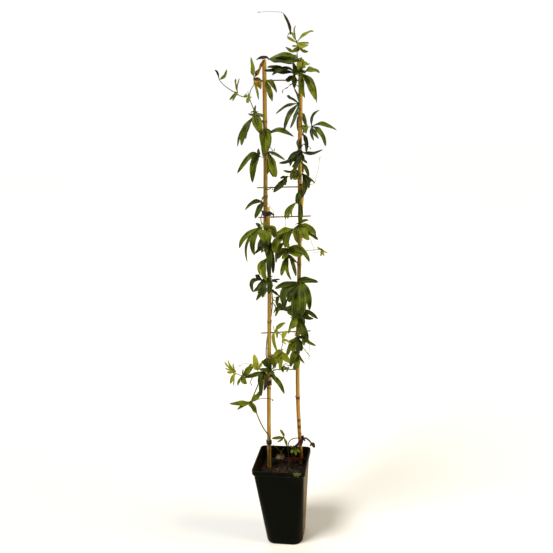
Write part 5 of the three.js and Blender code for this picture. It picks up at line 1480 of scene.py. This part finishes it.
def lobe_curve(hub, lobe, place, side):
    """The place that a lobe's rib bends towards, and its tip."""
    u, v, w = lobe[:3]
    length = math.dist((u, v, w), hub)
    if len(lobe) > 4:
        via_u, via_w = lobe[4:]
    else:
        via_u, via_w = (u + hub[0]) / 2, (w + hub[2]) / 2 + LOBE_ARCH * length
    via = seen((via_u, (v + hub[1]) / 2 + side * LOBE_ARCH * length, via_w))
    tip = seen(lobe)
    return 2 * via - (place + tip) / 2, tip


def add_leaf(skin, hub, lobes, thickness, chance):
    """Adds one leaf's blades to the skin: each lobe is a thin folded shell with a rib."""
    place, side, face, right, up = leaf_frame(hub, lobes)
    # A listed shade holds painted light and shade besides the leaf's green; others fall at random.
    shade = SHADES.get((hub[0], hub[2]), SHADE_START + SHADE_SPAN * chance.random())
    dead = WITHERED.get((hub[0], hub[2]), 0.0)
    curves, angles = [], []
    for lobe in sorted(lobes, key=lambda lobe: side * lobe[1], reverse=True):
        key = (lobe[0], lobe[2])
        bend, tip = lobe_curve(hub, lobe, place, side)
        curves.append((bend, tip, lobe[3] / 2 * BLADE_FULLNESS, SHADES.get(key, shade),
                       WITHERED.get(key, dead)))
        heading = bow(place, bend, tip, HEADING_SHARE) - place
        angles.append(math.atan2(heading.dot(up), heading.dot(right)))
    # Rings run from the hub to just short of the tip, where they lie closer together. Each goes
    # over the upper face from one edge to the other and back under the lower face.
    t = 1 - (1 - np.linspace(0, 1, LOBE_ROWS)[:, None]) ** 1.25
    t[-1] = 0.998
    s = np.linspace(-1, 1, LOBE_COLUMNS + 1)
    ring_s = np.concatenate([s, s[-2:0:-1]])
    lower = np.concatenate([np.zeros(LOBE_COLUMNS + 1), np.ones(LOBE_COLUMNS - 1)])
    half_of = np.sign(ring_s)
    for (bend, tip, half, tone, withered), layer in zip(curves, layer_of(angles)):
        rib = bow(place, bend, tip, t)
        tangent = 2 * (1 - t) * (bend - place) + 2 * t * (tip - bend)
        tangent /= np.linalg.norm(tangent, axis=1, keepdims=True)
        sideways = np.cross(tangent, face)
        sideways /= np.linalg.norm(sideways, axis=1, keepdims=True)
        lift = np.cross(sideways, tangent)
        rib = rib - face * LAYER_STEP * layer * smooth_step(t, 0.0, 0.3)
        phase, swing = chance.random() * 6.3, 0.5 + chance.random()
        # The edge runs a little unevenly, and each half of the blade waves on its own.
        edge = 1 + EDGE_WANDER * (np.sin(phase * 2 + t * 15 + half_of)
                                  + 0.6 * np.sin(phase * 5 + t * 34 + half_of * 2))
        reach = half * lobe_outline(t) * edge
        waves = np.sin(phase + t * (4 + swing * 5) + half_of * 0.9)
        fold = BLADE_FOLD * np.abs(ring_s) ** 1.3 * (1 + 0.3 * waves)
        body = thickness / 2 * np.sqrt(np.clip(1 - ring_s ** 2, 0, 1)) * (1 - 0.5 * t)
        groove = GROOVE_DEPTH * np.exp(-(ring_s * reach / GROOVE_WIDTH) ** 2) * (1 - t)
        height = reach * (fold + EDGE_WAVE * waves * ring_s ** 2)
        height = height + np.where(lower > 0, -body, body) - groove
        points = (rib[:, None] + sideways[:, None] * (ring_s * reach)[..., None]
                  + lift[:, None] * height[..., None])
        # The high power leaves most tips green and turns only a few brown.
        burnt = chance.random() ** 5 * smooth_step(t, 0.7, 1.0)
        turned = np.maximum(burnt, withered) if withered >= 0 else withered
        along = t * lengths_along(rib)[-1]
        skin.add_rings(points, blade=marks_of(height.shape, along, ring_s * reach, lower),
                       leaf=marks_of(height.shape, youth(hub), tone, turned))


def add_stipules(skin, hub, lobes, nodes, chance):
    """Adds the two small curved blades that sit where a leaf's stalk leaves the stem.

    Leaves behind the trellis, dark red leaves and leaves with no stalk have none.
    """
    place, side, face, _, _ = leaf_frame(hub, lobes)
    root = nearest_node(nodes, place, side)
    age = youth(hub)
    if side > 0 or age < 0 or np.linalg.norm(root - place) < STALKLESS:
        return
    away = unit(place - root)
    across = unit(np.cross(away, face))
    t = np.linspace(0, 1, 7)[:, None]
    angles = round_angles(8)
    for way in (1, -1):
        length = STIPULE * (0.7 + 0.6 * chance.random())
        heading = unit(across * way + away * (chance.random() - 0.3) - face * 0.5)
        start = root - face * 1.2 + heading * 0.8
        curve = away * 0.5 + UP * (chance.random() - 0.4)
        rib = start + heading * length * t + curve * length * t ** 2
        lift = unit(np.cross(heading, away) * way)
        sideways = unit(np.cross(lift, heading))
        half = 0.2 * length * (0.3 + np.sin(math.pi * t ** 0.8)) * (1 - 0.9 * t ** 4)
        height = 0.25 * np.sin(angles) + 0.12 * length * np.cos(angles) ** 2
        points = (rib[:, None] + sideways * (half * np.cos(angles))[..., None]
                  + lift * height[None, :, None])
        tone, turned = 0.3 + 0.7 * chance.random(), chance.random() ** 3
        skin.add_rings(points, blade=(3, 3, 0), leaf=(min(1, age + 0.3), tone, turned))


def petiole_lines(hub, lobes, nodes):
    """A leaf's stalk, thicker where it leaves the stem and where the lobes meet, or nothing."""
    place, side, face, _, _ = leaf_frame(hub, lobes)
    root = nearest_node(nodes, place, side)
    if np.linalg.norm(root - place) < STALKLESS:
        return []
    t = np.linspace(0, 1, 14)
    path = bow(root, (place + root) / 2 + face * 2, place, t[:, None])
    radii = PETIOLE * (0.82 + 0.45 * (1 - smooth_step(t, 0, 0.12)) + 0.35 * smooth_step(t, 0.88, 1))
    age = youth(hub)
    return [(path, radii, (0.0, 0.35 * (1 - age), max(age, 0.0)))]


def from_stem(places, nodes, samples):
    """A smooth path through places as the visitor sees them, from the nearest node of the stems."""
    points = [seen(place) for place in places]
    return smooth_path([nearest_node(nodes, points[0], -1), *points], samples)


def curl_line(places, nodes, chance):
    """A dead, knobbly curl that thins towards its end."""
    path = from_stem(places, nodes, 7)
    share = shares_along(path)
    radii = CURL * (1 - 0.4 * share) * (1 + 0.4 * np.sin(share * 30 + chance.random() * 6))
    return path, radii, (1.0, 0.0, 0.0)


# The coils at a tendril's end: their count, how far they advance in half a turn, and their radius.
COILS = 3
COIL_ADVANCE = 1.1
COIL_RADIUS = 1.5
GRIP_SWELL = 1.7


def tendril_line(places, nodes):
    """A thin tendril that ends in a few coils, which grow tighter."""
    path = from_stem(places, nodes, 8)
    heading = unit(path[-1] - path[-4])
    normal = unit(np.cross(heading, BEHIND))
    other = np.cross(heading, normal)
    turns = np.linspace(0, COILS * 2 * math.pi, 46)
    coil = [path[-1] + heading * COIL_ADVANCE * a / math.pi
            + (normal * math.sin(a) + other * (1 - math.cos(a)))
            * COIL_RADIUS * (1 - 0.4 * a / turns[-1]) for a in turns[1:]]
    path = np.vstack([path, coil])
    share = shares_along(path)
    if places[0] in RED_GRIPS:
        return path, TENDRIL * GRIP_SWELL * (1 - 0.4 * share), (0.1, 0.85, 0.0)
    return path, TENDRIL * (1 - 0.45 * share), (0.0, 0.1, 0.5)


# ---------------------------------------------------------------- the add-on

class VineDressing(bpy.types.PropertyGroup):
    """Sizes and colours of the vine, its trellis and its pot."""

    pot_colour: bpy.props.FloatVectorProperty(
        name="Pot", description="Colour of the moulded pot", subtype="COLOR", size=3, min=0, max=1,
        default=colour(0x040504))
    soil_colour: bpy.props.FloatVectorProperty(
        name="Soil", description="Colour of the soil's paler clods", subtype="COLOR", size=3,
        min=0, max=1, default=colour(0x140C08))
    cane_colour: bpy.props.FloatVectorProperty(
        name="Cane", description="Colour of the bamboo between its stains", subtype="COLOR", size=3,
        min=0, max=1, default=colour(0xB48E18))
    rung_colour: bpy.props.FloatVectorProperty(
        name="Rung", description="Colour of the split rungs", subtype="COLOR", size=3, min=0, max=1,
        default=colour(0x5A3A28))
    tie_colour: bpy.props.FloatVectorProperty(
        name="Tie", description="Colour of the soft ties", subtype="COLOR", size=3, min=0, max=1,
        default=colour(0x0A0A0A))
    stem_colour: bpy.props.FloatVectorProperty(
        name="Stem", description="Colour of the green shoots", subtype="COLOR", size=3,
        min=0, max=1, default=colour(0x46501A))
    leaf_colour: bpy.props.FloatVectorProperty(
        name="Old leaf", description="Colour of a full-grown leaf", subtype="COLOR", size=3,
        min=0, max=1, default=colour(0x263A03))
    young_leaf_colour: bpy.props.FloatVectorProperty(
        name="Young leaf", description="Colour of a leaf that has just opened", subtype="COLOR",
        size=3, min=0, max=1, default=colour(0x848A0E))
    leaf_thickness: bpy.props.FloatProperty(
        name="Leaf thickness", description="Thickness of a blade at its rib", unit="LENGTH",
        default=0.0006, min=0.0002, max=0.0015)
    vein_spacing: bpy.props.FloatProperty(
        name="Vein spacing", description="Distance between a lobe's side veins", unit="LENGTH",
        default=0.0042, min=0.001, max=0.01)
    crumb_density: bpy.props.FloatProperty(
        name="Crumbs", description="Crumbs of soil on a square metre", default=260000, min=0,
        max=400000)
    seed: bpy.props.IntProperty(
        name="Seed", description="Start of everything that is left to chance", default=11, min=0)


class VINE_OT_pot(bpy.types.Operator):
    """Builds the square pot with its lip and its drain holes"""
    bl_idname = "vine.pot"
    bl_label = "Pot"

    def execute(self, context):
        shell = cut(pot_mesh(), drain_holes())
        place_piece("pot_shell", shell, plastic_finish(context.scene.vine_dressing), "pot", "pot")
        return {"FINISHED"}


class VINE_OT_soil(bpy.types.Operator):
    """Fills the pot with soil and strews crumbs over it"""
    bl_idname = "vine.soil"
    bl_label = "Soil"

    def execute(self, context):
        dressing = context.scene.vine_dressing
        block, top = soil_skins()
        place_piece("soil_bed", block.mesh("soil_bed"), soil_finish(dressing), "soil", "soil")
        tones = crumb_finish("soil_crumbs", 0x060403, 0x0A0705, 0x120B07, 0x20140D, 0x5A4228)
        strew(scatter_grower(), "soil_crumbs", top.mesh("ground"), rough_stone("crumb", 3), tones,
              Density=dressing.crumb_density, Smallest=0.8, Largest=3.4, Tilt=3.1, Sink=0.0001,
              Seed=dressing.seed)
        return {"FINISHED"}


class VINE_OT_litter(bpy.types.Operator):
    """Lays straw, fallen leaf bits and moss on the soil and raises the dead stalks"""
    bl_idname = "vine.litter"
    bl_label = "Litter, moss and dead stalks"

    def execute(self, context):
        seed = context.scene.vine_dressing.seed
        grower = scatter_grower()
        straw = simple_finish("dry_straw", 0xE0C898, 0x38260F, 220.0, 0.6)
        strew(grower, "straw_bits", patch((-14, 50), (10, 7), 0.8, heap=6.0),
              tapered_blade("splinter", 8, 1.5, 0.3), straw,
              Density=330000, Smallest=0.5, Largest=1.3, Tilt=1.5, Sink=0.0006, Seed=seed + 1)
        tan = crumb_finish("tan_crumbs", 0x1A100A, 0x4A3420, 0x7A5C3A, 0xA08058)
        strew(grower, "tan_crumbs", patch((6, -8), (40, 14), 0.6), rough_stone("grit", 4), tan,
              Density=60000, Smallest=1.2, Largest=3.4, Tilt=3.1, Sink=0.0, Seed=seed + 4)
        ruddy = crumb_finish("ruddy_crumbs", 0x160A06, 0x3A1A10, 0x5A2C1C)
        strew(grower, "foot_crumbs", patch((-36, 6), (15, 12), 0.6), rough_stone("grit", 5), ruddy,
              Density=200000, Smallest=1.2, Largest=3.4, Tilt=3.1, Sink=0.0, Seed=seed + 5)
        lines = []
        for places in DRY_STALKS:
            path = smooth_path([seen(place) for place in places], 8)
            lines.append((path, STALK * (1 - 0.4 * np.linspace(0, 1, len(path))), (0.75, 0.1, 0.0)))
        stalks = simple_finish("dry_stalks", 0x8A8450, 0x4A4020, 260.0, 0.6)
        tube_grower().place("dry_stalks", line_mesh(lines), stalks, "soil", "soil",
                            Sides=8, Lumps=0.3, Lump_scale=300.0)
        litter = simple_finish("red_litter", 0x42101C, 0x5A2020, 260.0, 0.7)
        strew(grower, "fallen_bits", patch((21, 42), (21, 10), 0.8),
              tapered_blade("flake", 5, 2.2, 0.5), litter,
              Density=330000, Smallest=0.5, Largest=1.3, Tilt=1.35, Sink=0.0003, Seed=seed + 2)
        moss = simple_finish("green_moss", 0x262E0E, 0x9AA25C, 300.0, 0.75)
        strew(grower, "moss", moss_bed(47, 9), tapered_blade("moss_leaf", 2.4, 0.8, 0.4), moss,
              Density=9000000, Smallest=0.5, Largest=1.3, Tilt=1.5, Sink=0.0002, Seed=seed + 3)
        return {"FINISHED"}


class VINE_OT_canes(bpy.types.Operator):
    """Stands the four bamboo canes of the two ladders"""
    bl_idname = "vine.canes"
    bl_label = "Canes"

    def execute(self, context):
        material = bamboo_finish(context.scene.vine_dressing)
        for name in CANES:
            place_piece(name.replace("cane", "bamboo"), cane_mesh(name), material, "cane", name)
        return {"FINISHED"}


class VINE_OT_rungs(bpy.types.Operator):
    """Sets the rungs through the canes"""
    bl_idname = "vine.rungs"
    bl_label = "Rungs"

    def execute(self, context):
        material = rung_finish(context.scene.vine_dressing)
        for name in RUNGS:
            place_piece(f"split_{name}", rung_mesh(name), material, "rung", name)
        return {"FINISHED"}


class VINE_OT_ties(bpy.types.Operator):
    """Winds the soft ties round canes and stems"""
    bl_idname = "vine.ties"
    bl_label = "Ties"

    def execute(self, context):
        material = tie_finish(context.scene.vine_dressing)
        for name in TIES:
            place_piece(f"wound_{name}", tie_mesh(name), material, "tie", name)
        return {"FINISHED"}


class VINE_OT_stems(bpy.types.Operator):
    """Grows the shoots, leaf stalks, tendrils and dead curls of each leafy stem"""
    bl_idname = "vine.stems"
    bl_label = "Stems and tendrils"

    def execute(self, context):
        material = stem_finish(context.scene.vine_dressing)
        dead = simple_finish("dead_curl", 0x120C05, 0x4A3618, 320.0, 0.7)
        chance = np.random.default_rng(context.scene.vine_dressing.seed + 2)
        grower = tube_grower()
        for name in SHOOTS:
            shoots, nodes = grown_stems(name)
            lines = []
            for k, (radius, path) in enumerate(shoots):
                share = shares_along(path)
                # Only a stem's first shoot is old enough to be corky, and only near the soil.
                old = 0.9 * (1 - smooth_step(path[:, 2], CORK_LOW, CORK_HIGH)) if k == 0 else 0.0
                red = 0.3 + 0.5 * old
                if name == RED_SHOOT:
                    old, red, radius = 0.0, 1.0, radius * RED_SHOOT_SWELL
                marks = marks_of(share.shape, old, red, 0.0)
                lines.append((path, radius * (1 - 0.3 * share), marks))
            for hub, lobes in LEAVES[name]:
                lines += petiole_lines(hub, lobes, nodes)
            grower.place(f"{name}_shoots", line_mesh(lines), material, "vine", name,
                         Sides=10, Lumps=0.35, Lump_scale=260.0)
            if name in TENDRILS:
                lines = [tendril_line(places, nodes) for places in TENDRILS[name]]
                grower.place(f"{name}_tendrils", line_mesh(lines), material, "vine", name,
                             Sides=7, Lumps=0.1, Lump_scale=200.0)
                lines = [curl_line(places, nodes, chance) for places in CURLS[name]]
                grower.place(f"{name}_curls", line_mesh(lines), dead, "vine", name,
                             Sides=7, Lumps=0.5, Lump_scale=500.0)
        return {"FINISHED"}


class VINE_OT_leaves(bpy.types.Operator):
    """Opens the leaves of each leafy stem, with their stipules"""
    bl_idname = "vine.leaves"
    bl_label = "Leaves"

    def execute(self, context):
        dressing = context.scene.vine_dressing
        material = leaf_finish(dressing)
        thickness = millimetres(dressing.leaf_thickness)
        chance = np.random.default_rng(dressing.seed)
        small_chance = np.random.default_rng(dressing.seed + 1)
        for name, leaves in LEAVES.items():
            nodes = grown_stems(name)[1]
            blades, stipules = Skin(), Skin()
            for hub, lobes in leaves:
                add_leaf(blades, hub, lobes, thickness, chance)
                add_stipules(stipules, hub, lobes, nodes, small_chance)
            for piece, skin in ((f"{name}_leaves", blades), (f"{name}_stipules", stipules)):
                if skin.count:
                    place_piece(piece, skin.mesh(piece), material, "vine", name)
        return {"FINISHED"}


# Each light's place, how wide it is in degrees, its strength and its tint. They are far and wide,
# so that the floor is as pale in the distance as near the pot.
LIGHTS = {
    "key": ((-0.9, -0.9, 2.2), 22, 3.0, (1, 0.98, 0.92)),
    "side": ((2.2, -0.2, 1.5), 25, 2.0, (1, 0.83, 0.54)),
    "back": ((-0.6, 2.0, 1.6), 35, 0.8, (1, 1, 1)),
}
FLOOR_REACH = 30
FILM_WIDTH = 36


class VINE_OT_stage(bpy.types.Operator):
    """Lays the pale floor and sets the soft lights and the camera"""
    bl_idname = "vine.stage"
    bl_label = "Stage"

    def execute(self, context):
        scene = context.scene
        floor = bpy.data.meshes.new("floor")
        corners = ((-1, -1), (1, -1), (1, 1), (-1, 1))
        floor.from_pydata([(x * FLOOR_REACH, y * FLOOR_REACH, 0) for x, y in corners], [],
                          [(0, 1, 2, 3)])
        pale = bpy.data.materials.new("pale_floor")
        pale.use_nodes = True
        shader = pale.node_tree.nodes["Principled BSDF"]
        shader.inputs["Base Color"].default_value = (0.8, 0.8, 0.79, 1)
        shader.inputs["Roughness"].default_value = 0.9
        shader.inputs["Specular IOR Level"].default_value = 0.1
        floor.materials.append(pale)
        show("floor", floor)

        world = bpy.data.worlds.new("studio")
        world.use_nodes = True
        graph = Graph(world.node_tree)
        sky = world.node_tree.nodes["Background"]
        backdrop = graph.add("ShaderNodeLightPath").out("Is Camera Ray")
        graph.tree.links.new((0.17 + backdrop * 0.85).socket, sky.inputs["Strength"])
        sky.inputs["Color"].default_value = (1, 1, 1, 1)
        scene.world = world

        for name, (place, spread, strength, tint) in LIGHTS.items():
            lamp = bpy.data.lights.new(name, "SUN")
            lamp.angle, lamp.energy, lamp.color = math.radians(spread), strength, tint
            holder = show(name, lamp)
            holder.location = place
            holder.rotation_euler = (-Vector(place)).to_track_quat("-Z", "Y").to_euler()

        yaw, pitch, roll = (math.radians(angle) for angle in (YAW, PITCH, ROLL))
        forward = Vector((math.sin(yaw) * math.cos(pitch), math.cos(yaw) * math.cos(pitch),
                          math.sin(pitch)))
        right = Vector((math.cos(yaw), -math.sin(yaw), 0))
        up = right.cross(forward)
        tilted = (right * math.cos(roll) + up * math.sin(roll),
                  up * math.cos(roll) - right * math.sin(roll))
        eye = bpy.data.cameras.new("camera")
        eye.sensor_width, eye.lens = FILM_WIDTH, FILM_WIDTH * VIEW_LENGTH / VIEW_WIDTH
        eye.clip_end = 100
        camera = show("camera", eye)
        camera.matrix_world = Matrix((*tilted, -forward)).transposed().to_4x4()
        camera.location = VISITOR * MM
        scene.camera = camera
        scene.view_settings.view_transform = "Standard"
        return {"FINISHED"}


class VINE_PT_panel(bpy.types.Panel):
    """Lists the vine's sizes, colours and pieces"""
    bl_idname = "VINE_PT_panel"
    bl_label = "Potted vine"
    bl_space_type = "VIEW_3D"
    bl_region_type = "UI"
    bl_category = "Vine"

    def draw(self, context):
        for name in VineDressing.__annotations__:
            self.layout.prop(context.scene.vine_dressing, name)
        for operator in OPERATORS:
            self.layout.operator(operator.bl_idname)


OPERATORS = (VINE_OT_pot, VINE_OT_soil, VINE_OT_litter, VINE_OT_canes, VINE_OT_rungs, VINE_OT_ties,
             VINE_OT_stems, VINE_OT_leaves, VINE_OT_stage)
CLASSES = (VineDressing, *OPERATORS, VINE_PT_panel)


def register():
    for one in CLASSES:
        bpy.utils.register_class(one)
    bpy.types.Scene.vine_dressing = bpy.props.PointerProperty(type=VineDressing)


def unregister():
    del bpy.types.Scene.vine_dressing
    for one in reversed(CLASSES):
        bpy.utils.unregister_class(one)


def main():
    register()
    for operator in OPERATORS:
        getattr(bpy.ops.vine, operator.bl_idname.split(".")[1])()


if __name__ == "__main__":
    main()
